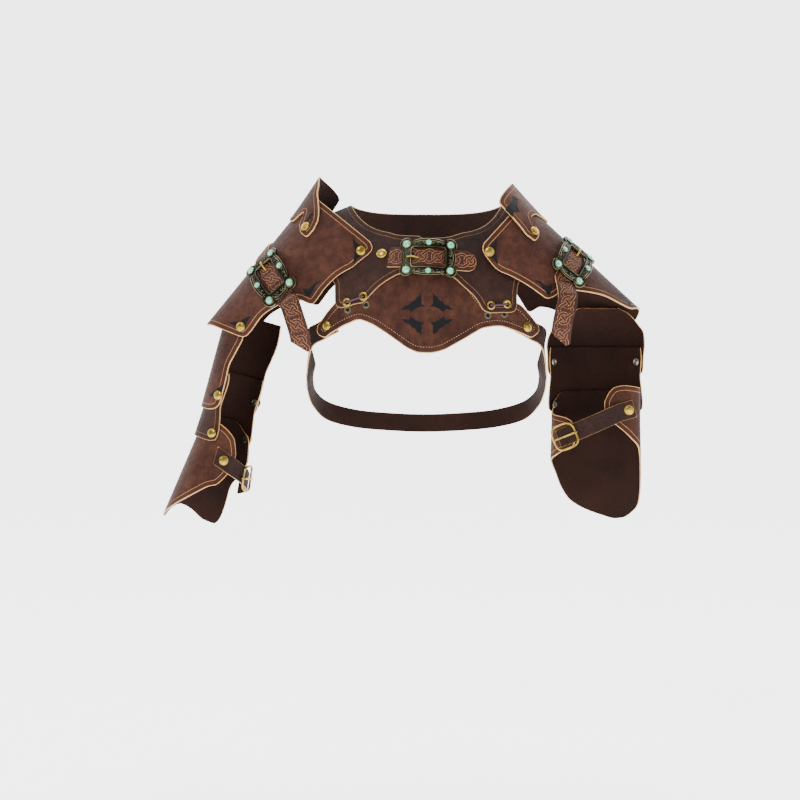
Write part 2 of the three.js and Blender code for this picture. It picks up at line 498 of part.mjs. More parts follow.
// round holes through a panel along its own normal
function pierced(mesh, holes) {
  const g = mesh.geometry;
  const solid = (geometry) => new Manifold(new SolidMesh({ numProp: 3, vertProperties: new Float32Array(geometry.attributes.position.array), triVerts: new Uint32Array(geometry.index.array) }));
  let cut = solid(g);
  for (const h of holes) {
    const drill = turned('drill', [{ r: 0, z: -9 }, { r: EYELET.hole, z: -9 }, { r: EYELET.hole, z: 9 }, { r: 0, z: 9 }], h.p, h.n, 10, skin.brass);
    cut = cut.subtract(solid(drill.geometry));
  }
  const m = cut.getMesh(), out = new THREE.BufferGeometry();
  out.setAttribute('position', new THREE.Float32BufferAttribute(Array.from(m.vertProperties), 3));
  out.setIndex(Array.from(m.triVerts));
  out.computeVertexNormals();
  const mesh2 = new THREE.Mesh(out, mesh.material);
  mesh2.name = mesh.name;
  return mesh2;
}

// ---------------------------------------------------------------- torso pieces
const lookYoke = (f) => (x) => look(YOKE_CUT, 'turn', f, x);
const yokeBase = (x) => look(YOKE_LAP, 'turn', 'base', x);
const EYELETS = [ // on the yoke's lobes
  { name: 'eyelet_1', turn: -44.6, run: 107 }, { name: 'eyelet_2', turn: -36, run: 92.5 },
  { name: 'eyelet_3', turn: 35.4, run: 103.5 }, { name: 'eyelet_4', turn: 44.3, run: 109 },
];
const CHEST_EYELETS = [
  { turn: -44.2, run: 117 }, { turn: -34.2, run: 103 }, { turn: 33.5, run: 116 }, { turn: 42.5, run: 121 },
];
const yokePlain = panel({ name: 'yoke', carrier: body, columns: stations(YOKE_CUT, 'turn', 8), low: lookYoke('inner'), high: lookYoke('reach'), rows: 6, base: yokeBase });
const yoke = pierced(yokePlain, EYELETS.map((e) => lifted(body, e.turn < 0 ? e.turn + 360 : e.turn, e.run, 1)));
group.add(yoke);
const chestPlain = panel({ name: 'chest_plate', carrier: body, columns: stations(CHEST_CUT, 'turn', 6), low: (x) => look(CHEST_CUT, 'turn', 'top', x), high: (x) => look(CHEST_CUT, 'turn', 'foot', x), rows: 5, base: () => -LAYER });
group.add(pierced(chestPlain, CHEST_EYELETS.map((e) => lifted(body, e.turn, e.run, -1))));
for (const e of EYELETS) {
  const s = lifted(body, e.turn, e.run, LAYER);
  group.add(turned(e.name, eyeletProfile, s.p, s.n, 12, skin.brass));
}
for (const [name, a, b] of [['lace_left', 0, 1], ['lace_right', 2, 3]]) {
  const p = (e, off) => lifted(body, EYELETS[e].turn, EYELETS[e].run, off).p;
  const top = (t, off) => lifted(body, EYELETS[a].turn + (EYELETS[b].turn - EYELETS[a].turn) * t, EYELETS[a].run + (EYELETS[b].run - EYELETS[a].run) * t, off).p;
  group.add(cord(name, [p(a, 0.4), p(a, 3.4), top(0.16, 5.6), top(0.5, 5.2), top(0.84, 5.6), p(b, 3.4), p(b, 0.4)], LACE.radius, 6, skin.lace));
}
const bandRoot = BAND_ROOT.map((r, i) => {
  const s = lifted(body, r.turn, r.run, -2 * LAYER - 0.45), near = BAND_ROOT[i < 2 ? i + 1 : i - 1];
  const along = lifted(body, near.turn, near.run, -2 * LAYER - 0.45).p.sub(s.p).multiplyScalar(i < 2 ? 1 : -1);
  const w = s.n.clone().cross(along).normalize();
  if (w.z < 0) w.negate();
  return { x: s.p.x, y: s.p.y, z: s.p.z, wx: w.x, wy: w.y, wz: w.z };
});
const bandLeft = [...bandRoot, ...BAND_PATH];
const bandRows = [...bandLeft, ...bandLeft.slice(0, -1).reverse().map((r) => ({ ...r, x: -r.x, wx: -r.wx }))];
group.add(ribbon('underarm_band', pathFrames(bandRows, 26, (c) => V(c.x, c.y, 0)), BAND_WIDTH, LEATHER, skin.leather));

// centre strap, laid over both ends of the yoke
const STRAP_ROWS = [
  { turn: -24.5, top: 23.5, foot: 50.5 }, { turn: -12, top: 21.5, foot: 48.5 }, { turn: 0, top: 21, foot: 48 },
  { turn: 12, top: 23.5, foot: 50.5 }, { turn: 23, top: 28, foot: 55 }, { turn: 28, top: 31, foot: 56.5 }, { turn: 31, top: 37, foot: 52 },
];
const strapBase = (x) => yokeBase(x < 4 ? x + 360 : 364) * (1 - smooth(Math.min(1, Math.max(0, (x - 5) / 10)))) + LAYER;
group.add(panel({ name: 'centre_strap', carrier: body, columns: stations(STRAP_ROWS, 'turn', 4), low: (x) => look(STRAP_ROWS, 'turn', 'top', x), high: (x) => look(STRAP_ROWS, 'turn', 'foot', x), rows: 2, base: strapBase, thick: STRAP_WALL, colour: skin.strap }));

const PAULDRON_PINS = [
  { no: 1, at: 16.4, across: 140.3, seat: 'yoke', only: 'left' }, { no: 3, at: 16.4, across: -140.3, seat: 'yoke', only: 'left' },
  { no: 1, at: 12.5, across: 130.4, seat: 'yoke', only: 'right' }, { no: 3, at: 12.5, across: -130.4, seat: 'yoke', only: 'right' },
  { no: 2, at: 188, across: 66.9, seat: 'arm', only: 'left' }, { no: 4, at: 188, across: -66.9, seat: 'arm' },
];
// ---------------------------------------------------------------- arm guards
const ARMS = [
  { word: 'left', arm: ARM_L, upper: UPPER_CUT_L, middle: MIDDLE_CUT_L, cuff: CUFF_CUT_L, s: ['upperL', 'middleL', 'cuffL'], pins: [[72, 64], [121, 64]] },
  { word: 'right', arm: ARM_R, upper: UPPER_CUT_R, middle: MIDDLE_CUT_R, cuff: CUFF_CUT_R, s: ['upperR', 'middleR', 'cuffR'], pins: [[52, 64], [108, 64]] },
];
const plates = {};
for (const a of ARMS) {
  const [upper, middle, cuff] = a.s.map((k) => tube(a.arm, SECTION[k]));
  for (const [name, carrier, cut, rows] of [['upper_plate', upper, a.upper, 14], ['middle_plate', middle, a.middle, 14]]) {
    const made = panel({ name: `${name}_${a.word}`, carrier, columns: stations(cut, 'at', 18), low: (x) => -look(cut, 'at', 'half', x), high: (x) => look(cut, 'at', cut[0].far ? 'far' : 'half', x), rows });
    plates[made.name] = made;
    group.add(made);
  }
  group.add(panel({ name: `elbow_cuff_${a.word}`, carrier: cuff, columns: stations(a.cuff, 'across', 9), low: (x) => look(a.cuff, 'across', 'top', x), high: (x) => look(a.cuff, 'across', 'foot', x), rows: 7, swap: true, base: () => (-0.1) }));
  for (const s of [1, -1]) {
    const k = s > 0 ? 1 : 2;
    group.add(rivet(`rivet_upper_${a.word}_${k}`, upper, a.pins[0][0], s * a.pins[0][1], LEATHER));
    group.add(rivet(`rivet_middle_${a.word}_${k}`, middle, a.pins[1][0], s * a.pins[1][1], LEATHER));
  }
}
// ---------------------------------------------------------------- shoulders
function seatOn(carrier, u, v, lean, off) {
  const s = lifted(carrier, u, v, off), e = 2;
  const q = lifted(carrier, u + e * Math.sin(rad(lean)), v + e * Math.cos(rad(lean)), off);
  const ex = q.p.clone().sub(s.p);
  ex.addScaledVector(s.n, -ex.dot(s.n)).normalize();
  return { o: s.p, ex, ey: s.n.clone().cross(ex), en: s.n };
}
const centreSeat = (() => {
  const s = lifted(body, 0.7, 37, LAYER * 2 + STRAP_WALL + 2.2);
  const ex = V(1, 0, -0.03).addScaledVector(s.n, -V(1, 0, -0.03).dot(s.n)).normalize();
  return { o: s.p, ex, ey: s.n.clone().cross(ex), en: s.n };
})();
group.add(frameRing('centre_buckle', centreSeat, BUCKLE, 110, true, skin.bronze));
group.add(pin('centre_prong', centreSeat, -28.5, 30, BUCKLE.wall + SEAM + PRONG + 0.05, PRONG, 110));

for (const [tag, word, side] of [['L', 'left', LEFT], ['R', 'right', RIGHT]]) {
  const shell = arch(side), rowsCut = tag === 'L' ? PAULDRON_CUT_L : PAULDRON_CUT_R, cut = (x) => look(rowsCut, 'at', 'half', x);
  const pauldronPlain = panel({ name: `pauldron_${word}`, carrier: shell, columns: stations(rowsCut, 'at', 16), low: (x) => -cut(x), high: cut, rows: 18, base: () => -LEATHER });
  const overArch = arch(side, true), face = tag === 'L' ? 1 : -1; // one cut for both, not mirrored
  const over = (u, v) => overArch(u, v * face);
  group.add(panel({ name: `neck_guard_${word}`, carrier: over, columns: stations(GUARD_CUT, 'across', 9), low: (x) => look(GUARD_CUT, 'across', 'neck', x), high: (x) => look(GUARD_CUT, 'across', 'arm', x), rows: 5, base: () => SEAM, swap: true }));
  const corners = PAULDRON_PINS.filter((q) => !q.only || q.only === word);
  group.add(pierced(pauldronPlain, corners.map((q) => lifted(shell, q.at, q.across, -1))));
  for (const q of corners) {
    const below = q.seat === 'yoke' ? yoke : plates[`upper_plate_${word}`];
    group.add(shankRivet(`rivet_pauldron_${word}_${q.no}`, shell, q.at, q.across, 0, below));
  }
  for (const [k, u, v] of [[1, 37, 66], [2, 37, -66]]) group.add(rivet(`rivet_guard_${word}_${k}`, over, u, v, LAYER));

  const st = SHOULDER_STRAP[tag], lean = rad(st.lean);
  const at = (t, w, off) => lifted(shell, st.ridge + t * Math.sin(lean) + w * Math.cos(lean), st.across + t * Math.cos(lean) - w * Math.sin(lean), off);
  const frames = [], count = 22;
  for (let i = 0; i <= count; i++) {
    const t = st.back + (st.front - st.back) * i / count, s = at(t, 0, SEAM + 0.4);
    frames.push({ c: s.p, w: at(t, 1, SEAM).p.sub(at(t, -1, SEAM).p).normalize(), n: s.n });
  }
  const last = frames[frames.length - 1];
  const rows = [{ x: last.c.x, y: last.c.y, z: last.c.z, wx: last.w.x, wy: last.w.y, wz: last.w.z }, ...st.tail];
  const flip = Math.sign(last.w.x * st.tail[0].wx + last.w.z * st.tail[0].wz) || 1;
  for (const r of rows.slice(1)) { r.wx *= flip; r.wy *= flip; r.wz *= flip; }
  frames.push(...pathFrames(rows, 9, () => V(0, -1, 0)).slice(1));
  group.add(ribbon(`shoulder_strap_${word}`, frames, STRAP_WIDTH - 2, STRAP_WALL, skin.strap, (t) => rounded(t, 0.045)));
  const seat = seatOn(shell, st.ridge + st.ahead * Math.sin(lean), st.across + st.ahead * Math.cos(lean), st.lean, SEAM + STRAP_WALL + 2.4);
  group.add(frameRing(`shoulder_buckle_${word}`, seat, BUCKLE, 84, true, skin.bronze));
  group.add(pin(`shoulder_prong_${word}`, seat, -28.5, 30, BUCKLE.wall + SEAM + PRONG + 0.05, PRONG, 84));
  group.add(rivet(`rivet_strap_${word}`, (u, v) => { const q = at(u, v, 0); return { p: q.p, core: q.p.clone().sub(q.n) }; }, st.back + 12, 0, SEAM + 0.4 + STRAP_WALL));
}
group.add(rivet('rivet_yoke', body, -29.7, 33.5, 2.6));
group.add(rivet('rivet_chest_left', body, -54.4, 148, -SEAM));
group.add(rivet('rivet_chest_right', body, 54.4, 150, -SEAM));

// ---------------------------------------------------------------- cuff straps
const cuffTube = tube(ARM_L, SECTION.cuffL), cuffLay = LEATHER - 0.1 + SEAM;
const slant = (v) => 149 + (v - 75) * 0.4;
group.add(panel({ name: 'cuff_strap_left', carrier: cuffTube, columns: stations([{ at: 70 }, { at: 162 }], 'at', 7.5), low: (v) => slant(v) - CUFF_STRAP_WIDTH / 2, high: (v) => slant(v) + CUFF_STRAP_WIDTH / 2, rows: 2, base: () => cuffLay, thick: STRAP_WALL, colour: skin.strap, swap: true }));
group.add(frameRing('cuff_buckle_left', seatOn((u, v) => cuffTube(u, v), slant(123), 123, 0, cuffLay + STRAP_WALL + 0.5), CUFF_BUCKLE, 46, false, skin.brass));
group.add(rivet('rivet_cuff_left', cuffTube, slant(81), 81, cuffLay + STRAP_WALL));
const acrossR = pathFrames(CUFF_STRAP_R, 14, () => V(0, -1, 0));
group.add(ribbon('cuff_strap_right', acrossR, CUFF_STRAP_WIDTH, STRAP_WALL, skin.strap));
const holdR = acrossR[12], exR = holdR.n.clone().cross(holdR.w).normalize();
group.add(frameRing('cuff_buckle_right', { o: holdR.c.clone().addScaledVector(holdR.n, STRAP_WALL + SEAM + 1.2), ex: exR, ey: holdR.w, en: holdR.n }, CUFF_BUCKLE, 300, false, skin.brass));
group.add(turned('rivet_cuff_right', rivetProfile, acrossR[1].c.clone().addScaledVector(acrossR[1].n, STRAP_WALL + SEAM), acrossR[1].n, 10, skin.brass));
export default group;
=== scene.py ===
"""Leather shoulder harness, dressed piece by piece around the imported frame.

Lengths in the classes are millimetres, and every mesh is written in metres.
"""

import sys
import json
import logging
from dataclasses import dataclass, field
from enum import Enum
from math import ceil, cos, pi, radians, sin
from typing import Callable, Optional, Sequence

import bpy
import numpy as np
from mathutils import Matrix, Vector
from numpy.linalg import norm

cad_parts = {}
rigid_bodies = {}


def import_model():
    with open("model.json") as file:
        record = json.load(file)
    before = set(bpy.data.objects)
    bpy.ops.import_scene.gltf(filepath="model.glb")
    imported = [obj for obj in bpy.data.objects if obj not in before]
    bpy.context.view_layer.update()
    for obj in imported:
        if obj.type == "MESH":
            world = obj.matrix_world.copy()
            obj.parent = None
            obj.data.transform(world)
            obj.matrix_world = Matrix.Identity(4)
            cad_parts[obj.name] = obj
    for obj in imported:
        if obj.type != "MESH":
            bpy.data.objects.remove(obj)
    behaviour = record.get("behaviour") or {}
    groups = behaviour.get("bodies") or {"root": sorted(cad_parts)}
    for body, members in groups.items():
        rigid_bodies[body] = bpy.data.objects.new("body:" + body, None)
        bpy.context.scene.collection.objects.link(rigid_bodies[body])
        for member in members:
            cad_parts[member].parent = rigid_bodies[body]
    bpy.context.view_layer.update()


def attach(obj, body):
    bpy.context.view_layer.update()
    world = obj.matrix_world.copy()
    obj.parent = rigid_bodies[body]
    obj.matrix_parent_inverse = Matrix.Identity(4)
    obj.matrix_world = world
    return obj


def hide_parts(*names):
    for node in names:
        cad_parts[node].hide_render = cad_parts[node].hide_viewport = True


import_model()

LOG = logging.getLogger("harness")
MM = 0.001
LEATHER = 2.0  # wall of every panel
SEAM = 0.3  # air between layers
LAYER = LEATHER + SEAM
STRAP_WALL = 2.4  # straps are a little thicker
STRAP_WIDTH = 27.0
CUFF_STRAP_WIDTH = 23.0
BODY = "root"
SKIVE = 1.2  # width of a panel's pared border
GROOVE = (5.7, 6.3, 6.9)  # scored line: its start, middle and end from the border
NO_EDGE, NO_INK = 99.0, -50.0  # readings far from any border or inlay
Points = np.ndarray
WHITE, BLACK = (1, 1, 1, 1), (0, 0, 0, 1)
Socket = bpy.types.NodeSocket
Material = bpy.types.Material
Piece = bpy.types.Object


# ---- colour and nodes
def tone(red: int, green: int, blue: int) -> tuple[float, float, float, float]:
    """Turns a colour of three parts from 0 to 255 into the shader's linear one."""
    linear = [c / 255 / 12.92 if c <= 10 else ((c / 255 + 0.055) / 1.055) ** 2.4 for c in (red, green, blue)]
    return (*linear, 1.0)


def fill(node: bpy.types.Node, **values: object) -> None:
    """Sets a node's sockets by name, with _ for a space."""
    for key, value in values.items():
        node.inputs[key.replace("_", " ")].default_value = value


class NodeBench:
    """Lays out one material's nodes with short calls."""

    def __init__(self, name: str) -> None:
        """Starts an empty material.

        Args:
            name: Name of the material.
        """
        self.material = bpy.data.materials.new(name)
        self.material.use_nodes = True
        self.nodes = self.material.node_tree.nodes
        self.links = self.material.node_tree.links
        self.shader = self.nodes["Principled BSDF"]

    def add(self, kind: str, **settings: object) -> bpy.types.Node:
        """Adds a node and sets its properties.

        Args:
            kind: Node type name.
            settings: Properties to set on the node.

        Returns:
            The new node.
        """
        node = self.nodes.new(kind)
        for key, value in settings.items():
            setattr(node, key, value)
        return node

    def join(self, value: object, slot: Socket) -> None:
        """Links a socket to a slot, or sets the slot to a constant."""
        if isinstance(value, (tuple, float)):
            slot.default_value = value
        else:
            self.links.new(value, slot)

    def place(self) -> Socket:
        """Returns the object-coordinate socket."""
        return self.add("ShaderNodeTexCoord").outputs["Object"]

    def reading(self, name: str) -> Socket:
        """Returns the value socket of a mesh attribute."""
        return self.add("ShaderNodeAttribute", attribute_name=name).outputs["Fac"]

    def noise(self, where: Socket, scale: float, detail: float = 4.0, rough: float = 0.55) -> Socket:
        """Returns a noise value socket.

        Args:
            where: Coordinates to read.
            scale: Pattern scale per metre.
            detail: Octaves.
            rough: Share of the finer octaves.

        Returns:
            The noise value from 0 to 1.
        """
        node = self.add("ShaderNodeTexNoise")
        fill(node, Scale=scale, Detail=detail, Roughness=rough)
        self.join(where, node.inputs["Vector"])
        return node.outputs["Fac"]

    def cells(self, where: Socket, scale: float) -> Socket:
        """Returns a cell-distance socket at a scale per metre."""
        node = self.add("ShaderNodeTexVoronoi", feature="F1")
        fill(node, Scale=scale)
        self.join(where, node.inputs["Vector"])
        return node.outputs["Distance"]

    def ramp(self, value: Socket, stops: Sequence[tuple[float, tuple]]) -> Socket:
        """Returns a colour read from a value.

        Args:
            value: Value from 0 to 1.
            stops: Positions with their colours.

        Returns:
            The colour socket.
        """
        node = self.add("ShaderNodeValToRGB")
        marks = node.color_ramp.elements
        while len(marks) < len(stops):
            marks.new(0.5)
        for mark, (at, colour) in zip(marks, sorted(stops, key=lambda s: s[0])):
            mark.position, mark.color = at, colour
        self.join(value, node.inputs["Fac"])
        return node.outputs["Color"]

    def span(self, value: Socket, low: float, high: float, to_low: float, to_high: float) -> Socket:
        """Maps a value from one range to another.

        Args:
            value: Value to map.
            low: Low end of the value.
            high: High end of the value.
            to_low: What the low end becomes.
            to_high: What the high end becomes.

        Returns:
            The mapped value.
        """
        node = self.add("ShaderNodeMapRange")
        self.join(value, node.inputs["Value"])
        fill(node, From_Min=low, From_Max=high, To_Min=to_low, To_Max=to_high)
        return node.outputs["Result"]

    def mix(self, share: Socket, first: object, second: object) -> Socket:
        """Mixes two colours.

        Args:
            share: Share of the second colour.
            first: A colour or a colour socket.
            second: A colour or a colour socket.

        Returns:
            The mixed colour.
        """
        node = self.add("ShaderNodeMix", data_type="RGBA")
        for value, slot in ((share, 0), (first, 6), (second, 7)):
            self.join(value, node.inputs[slot])
        return node.outputs[2]

    def bump(self, layers: Sequence[tuple[Socket, float, float]]) -> None:
        """Stacks bump layers onto the shader.

        Args:
            layers: Height socket, strength and height in metres of each layer.
        """
        last = None
        for height, strength, depth in layers:
            node = self.add("ShaderNodeBump")
            fill(node, Strength=strength, Distance=depth)
            self.join(height, node.inputs["Height"])
            if last is not None:
                self.join(last, node.inputs["Normal"])
            last = node.outputs["Normal"]
        self.join(last, self.shader.inputs["Normal"])

    def paint(self, colour: object, rough: object, **fixed: float) -> Material:
        """Sets the shader's main sockets.

        Args:
            colour: Base colour or its socket.
            rough: Roughness or its socket.
            fixed: Constant values by socket name, with _ for a space.

        Returns:
            The finished material.
        """
        self.join(colour, self.shader.inputs["Base Color"])
        self.join(rough, self.shader.inputs["Roughness"])
        fill(self.shader, **fixed)
        return self.material


class Edge(Enum):
    """How a panel's border is worked."""

    GROOVED = "a tan line scored inside the border"
    STITCHED = "a row of thread inside the border"
    PLAIN = "a raw border only"


@dataclass(frozen=True)
class LeatherFinish:
    """Oiled brown hide with a scored border line and black inlays."""

    name: str = "brown_hide"
    deep: tuple = tone(36, 19, 14)
    mid: tuple = tone(66, 38, 28)
    light: tuple = tone(82, 50, 37)
    band: tuple = tone(55, 30, 20)
    line: tuple = tone(164, 116, 76)
    raw: tuple = tone(190, 144, 90)
    ink: tuple = tone(17, 17, 18)
    skive: float = 0.8
    groove: float = 6.3
    reach: float = 10.0
    lined: bool = True
    banded: bool = True

    def material(self) -> Material:
        """Returns the hide's material."""
        bench = NodeBench(self.name)
        where = bench.place()
        cloud = bench.noise(where, 11.0, 5.0, 0.6)
        hide = bench.ramp(cloud, [(0.3, self.deep), (0.52, self.mid), (0.74, self.light)])
        fleck = bench.noise(where, 260.0, 3.0, 0.7)
        hide = bench.mix(bench.span(fleck, 0.35, 0.75, 0.0, 0.32), hide, self.deep)
        # The crease noise is the bump's height, and the hide is darkened where it is low: painted shade in the crease
        # valleys.
        crease_height_and_shade = bench.noise(where, 90.0, 6.0, 0.75)
        hide = bench.mix(bench.span(crease_height_and_shade, 0.4, 0.6, 0.6, 0.0), hide, self.deep)
        border = bench.span(bench.reading("edge"), 0.0, self.reach, 0.0, 1.0)
        s, g, r = self.skive / self.reach, self.groove / self.reach, 0.45 / self.reach
        if self.banded:
            keep = bench.ramp(border, [(0.0, WHITE), (g - r * 0.2, WHITE), (g + r * 1.2, BLACK)])
            hide = bench.mix(bench.mix(keep, BLACK, (0.5, 0.5, 0.5, 1)), hide, self.band)
        stops = [(0.0, WHITE), (s * 0.92, WHITE), (s * 1.08, BLACK)]
        if self.lined:
            tint = (0.85, 0.85, 0.85, 1)
            stops += [(g - r * 1.05, BLACK), (g - r * 0.7, tint), (g + r * 0.7, tint), (g + r * 1.05, BLACK)]
        tan = bench.mix(bench.span(border, s, s + 0.05, 0.0, 1.0), self.raw, self.line)
        colour = bench.mix(bench.ramp(border, stops), hide, tan)
        # The ink reading covers the black inlays and also the black discs in the chest eyelets, which are painted
        # shade where the eyelet holes are dark.
        colour = bench.mix(bench.span(bench.reading("ink"), -0.1, 0.1, 0.0, 1.0), colour, self.ink)
        grain = bench.cells(where, 620.0)
        pores = bench.noise(where, 900.0, 3.0, 0.6)
        bench.bump([(crease_height_and_shade, 0.6, 0.0018), (grain, 0.4, 0.0003), (pores, 0.3, 0.0002)])
        rough = bench.span(cloud, 0.3, 0.75, 0.68, 0.52)
        return bench.paint(colour, rough, Specular_IOR_Level=0.08)


@dataclass(frozen=True)
class LiningFinish:
    """Dark flesh side of the hide."""

    name: str = "dark_flesh_side"
    deep: tuple = tone(15, 8, 6)
    light: tuple = tone(42, 23, 17)

    def material(self) -> Material:
        """Returns the lining's material."""
        bench = NodeBench(self.name)
        where = bench.place()
        nap = bench.noise(where, 480.0, 5.0, 0.7)
        cloud = bench.noise(where, 14.0, 4.0)
        colour = bench.mix(
            bench.span(nap, 0.3, 0.8, 0.0, 0.7), bench.ramp(cloud, [(0.3, self.deep), (0.75, self.light)]), self.light
        )
        bench.bump([(nap, 0.35, 0.0003)])
        return bench.paint(colour, bench.span(nap, 0.3, 0.8, 0.72, 0.9), Specular_IOR_Level=0.08)


@dataclass(frozen=True)
class RawFinish:
    """Pale cut edge of the hide."""

    name: str = "raw_cut_edge"
    deep: tuple = tone(146, 102, 60)
    light: tuple = tone(198, 156, 102)

    def material(self) -> Material:
        """Returns the cut edge's material."""
        bench = NodeBench(self.name)
        where = bench.place()
        fibre = bench.noise(where, 700.0, 4.0, 0.7)
        bench.bump([(fibre, 0.3, 0.0002)])
        return bench.paint(bench.ramp(fibre, [(0.3, self.deep), (0.65, self.light)]), 0.75, Specular_IOR_Level=0.3)


@dataclass(frozen=True)
class ToolingFinish:
    """Strap hide with raised, rubbed interlace."""

    name: str = "tooled_strap_hide"
    ground: tuple = tone(44, 21, 13)
    mid: tuple = tone(66, 34, 22)
    ridge: tuple = tone(156, 108, 72)

    def material(self) -> Material:
        """Returns the tooled strap's material."""
        bench = NodeBench(self.name)
        where = bench.place()
        rubbed = bench.noise(where, 60.0, 4.0, 0.6)
        high = bench.ramp(bench.reading("tool"), [(0.1, self.ground), (0.35, self.mid), (0.75, self.ridge)])
        colour = bench.mix(bench.span(rubbed, 0.35, 0.7, 0.3, 0.0), high, self.mid)
        pores = bench.noise(where, 900.0, 3.0, 0.6)
        bench.bump([(pores, 0.25, 0.0002)])
        return bench.paint(colour, bench.span(rubbed, 0.3, 0.7, 0.52, 0.68), Specular_IOR_Level=0.16)


@dataclass(frozen=True)
class MetalFinish:
    """Cast or pressed metal with rubbed high spots; their lightening is partly worn polish and partly painted
    highlight.
    """

    name: str
    low: tuple
    high: tuple
    rough: tuple[float, float]
    aged: bool = False

    def material(self) -> Material:
        """Returns the metal's material."""
        bench = NodeBench(self.name)
        where = bench.place()
        tarnish = bench.noise(where, 160.0, 5.0, 0.65)
        if self.aged:
            # Aged metal is lightened by the high reading on bead crests and raised parts: partly worn polish, partly
            # painted highlight.
            share = bench.mix(bench.span(tarnish, 0.35, 0.7, 0.0, 0.5), bench.reading("high"), (0.12, 0.12, 0.12, 1))
            colour = bench.mix(share, self.low, self.high)
        else:
            colour = bench.ramp(tarnish, [(0.32, self.low), (0.6, self.high)])
        bench.bump([(bench.noise(where, 1100.0, 3.0), 0.12, 0.0001), (tarnish, 0.1, 0.0003)])
        return bench.paint(colour, bench.span(tarnish, 0.3, 0.7, *self.rough), Metallic=1.0)


@dataclass(frozen=True)
class StoneFinish:
    """Pale turquoise cabochon with faint veins."""

    name: str = "turquoise_stone"
    deep: tuple = tone(22, 140, 104)
    light: tuple = tone(84, 204, 164)
    vein: tuple = tone(16, 62, 48)

    def material(self) -> Material:
        """Returns the stone's material."""
        bench = NodeBench(self.name)
        where = bench.place()
        body = bench.ramp(bench.noise(where, 320.0, 4.0, 0.6), [(0.35, self.deep), (0.6, self.light)])
        vein = bench.span(bench.noise(where, 520.0, 5.0, 0.75), 0.58, 0.66, 0.0, 0.85)
        bench.bump([(bench.noise(where, 700.0, 2.0), 0.05, 0.0001)])
        return bench.paint(
            bench.mix(vein, body, self.vein), 0.16, Coat_Weight=0.6, Coat_Roughness=0.06, Specular_IOR_Level=0.6
        )


@dataclass(frozen=True)
class LaceFinish:
    """Dark waxed lace."""

    name: str = "waxed_lace"
    deep: tuple = tone(30, 16, 22)
    light: tuple = tone(72, 40, 48)

    def material(self) -> Material:
        """Returns the lace's material."""
        bench = NodeBench(self.name)
        where = bench.place()
        strand = bench.noise(where, 900.0, 3.0, 0.6)
        bench.bump([(strand, 0.5, 0.0003)])
        return bench.paint(bench.ramp(strand, [(0.35, self.deep), (0.65, self.light)]), 0.6, Specular_IOR_Level=0.35)


@dataclass(frozen=True)
class PlainFinish:
    """One soft colour with a little tooth, for thread and the studio."""

    name: str
    colour: tuple
    rough: float = 0.8
    tooth: float = 900.0
    glow: float = 0.0

    def material(self) -> Material:
        """Returns the plain material."""
        bench = NodeBench(self.name)
        where = bench.place()
        shade = bench.noise(where, self.tooth, 3.0)
        dark = tuple(c * 0.9 for c in self.colour[:3]) + (1.0,)
        return bench.paint(
            bench.ramp(shade, [(0.3, dark), (0.6, self.colour)]), self.rough, Specular_IOR_Level=0.2,
            Emission_Strength=self.glow
        )


class Finishes:
    """Every finish of the harness, each made once."""

    def __init__(self) -> None:
        """Makes the materials."""
        self.hide = LeatherFinish().material()
        self.strap_hide = LeatherFinish(
            name="plain_strap_hide", deep=tone(34, 18, 13), mid=tone(60, 33, 24), light=tone(82, 48, 35), skive=0.25,
            lined=False, banded=False
        ).material()
        self.stitched_hide = LeatherFinish(name="stitched_hide", skive=1.0, lined=False, banded=False).material()
        self.plain_hide = LeatherFinish(name="plain_hide", lined=False, banded=False).material()
        self.lining = LiningFinish().material()
        self.raw = RawFinish().material()
        self.tooled = ToolingFinish().material()
        self.brass = MetalFinish("worn_brass", tone(98, 78, 32), tone(170, 142, 62), (0.36, 0.24)).material()
        self.steel = MetalFinish("rivet_back", tone(96, 88, 78), tone(170, 162, 148), (0.42, 0.28)).material()
        self.bronze = MetalFinish(
            "aged_bronze", tone(12, 13, 11), tone(104, 100, 76), (0.46, 0.32), aged=True
        ).material()
        self.stone = StoneFinish().material()
        self.lace = LaceFinish().material()
        self.thread = PlainFinish("linen_thread", tone(158, 122, 92)).material()


# ---- tables and carriers
class Table:
    """A short table with named columns, read between its rows."""

    def __init__(self, names: str, *rows: tuple) -> None:
        """Stores the rows.

        Args:
            names: Column names, the first being the one read along.
            rows: One tuple of numbers a row.
        """
        self.rows = np.array(rows, float)
        self.data = dict(zip(names.split(), self.rows.T))
        self.along = next(iter(self.data.values()))

    def straight(self, name: str, x: Points) -> Points:
        """Reads a column straight between its rows."""
        return np.interp(x, self.along, self.data[name])

    def eased(self, name: str, x: Points) -> Points:
        """Reads a column on a smooth curve that never overshoots.

        Args:
            name: Column to read.
            x: Where to read it.

        Returns:
            The values.
        """
        xs, ys = self.along, self.data[name]
        h = np.diff(xs)
        s = np.diff(ys) / h
        m = np.concatenate([[s[0]], np.zeros(len(xs) - 2), [s[-1]]])
        turn = s[:-1] * s[1:] > 0
        m[1:-1][turn] = 2 * s[:-1][turn] * s[1:][turn] / (s[:-1][turn] + s[1:][turn])
        i = np.clip(np.searchsorted(xs, x) - 1, 0, len(xs) - 2)
        t = np.clip((x - xs[i]) / h[i], 0, 1)
        a, b = t * t * (3 - 2 * t), t * (1 - t)
        return ys[i] * (1 - a) + ys[i + 1] * a + h[i] * b * (m[i] * (1 - t) - m[i + 1] * t)


def unit(v: Points) -> Points:
    """Returns vectors of length one along the last axis."""
    return v / np.maximum(norm(v, axis=-1, keepdims=True), 1e-9)


def run_along(line: Points) -> Points:
    """Returns the running length at each point of a line."""
    return np.concatenate([[0], np.cumsum(norm(np.diff(line, axis=0), axis=1))])


def smooth(t: Points) -> Points:
    """Returns an eased step of values from 0 to 1."""
    t = np.clip(t, 0, 1)
    return t * t * (3 - 2 * t)


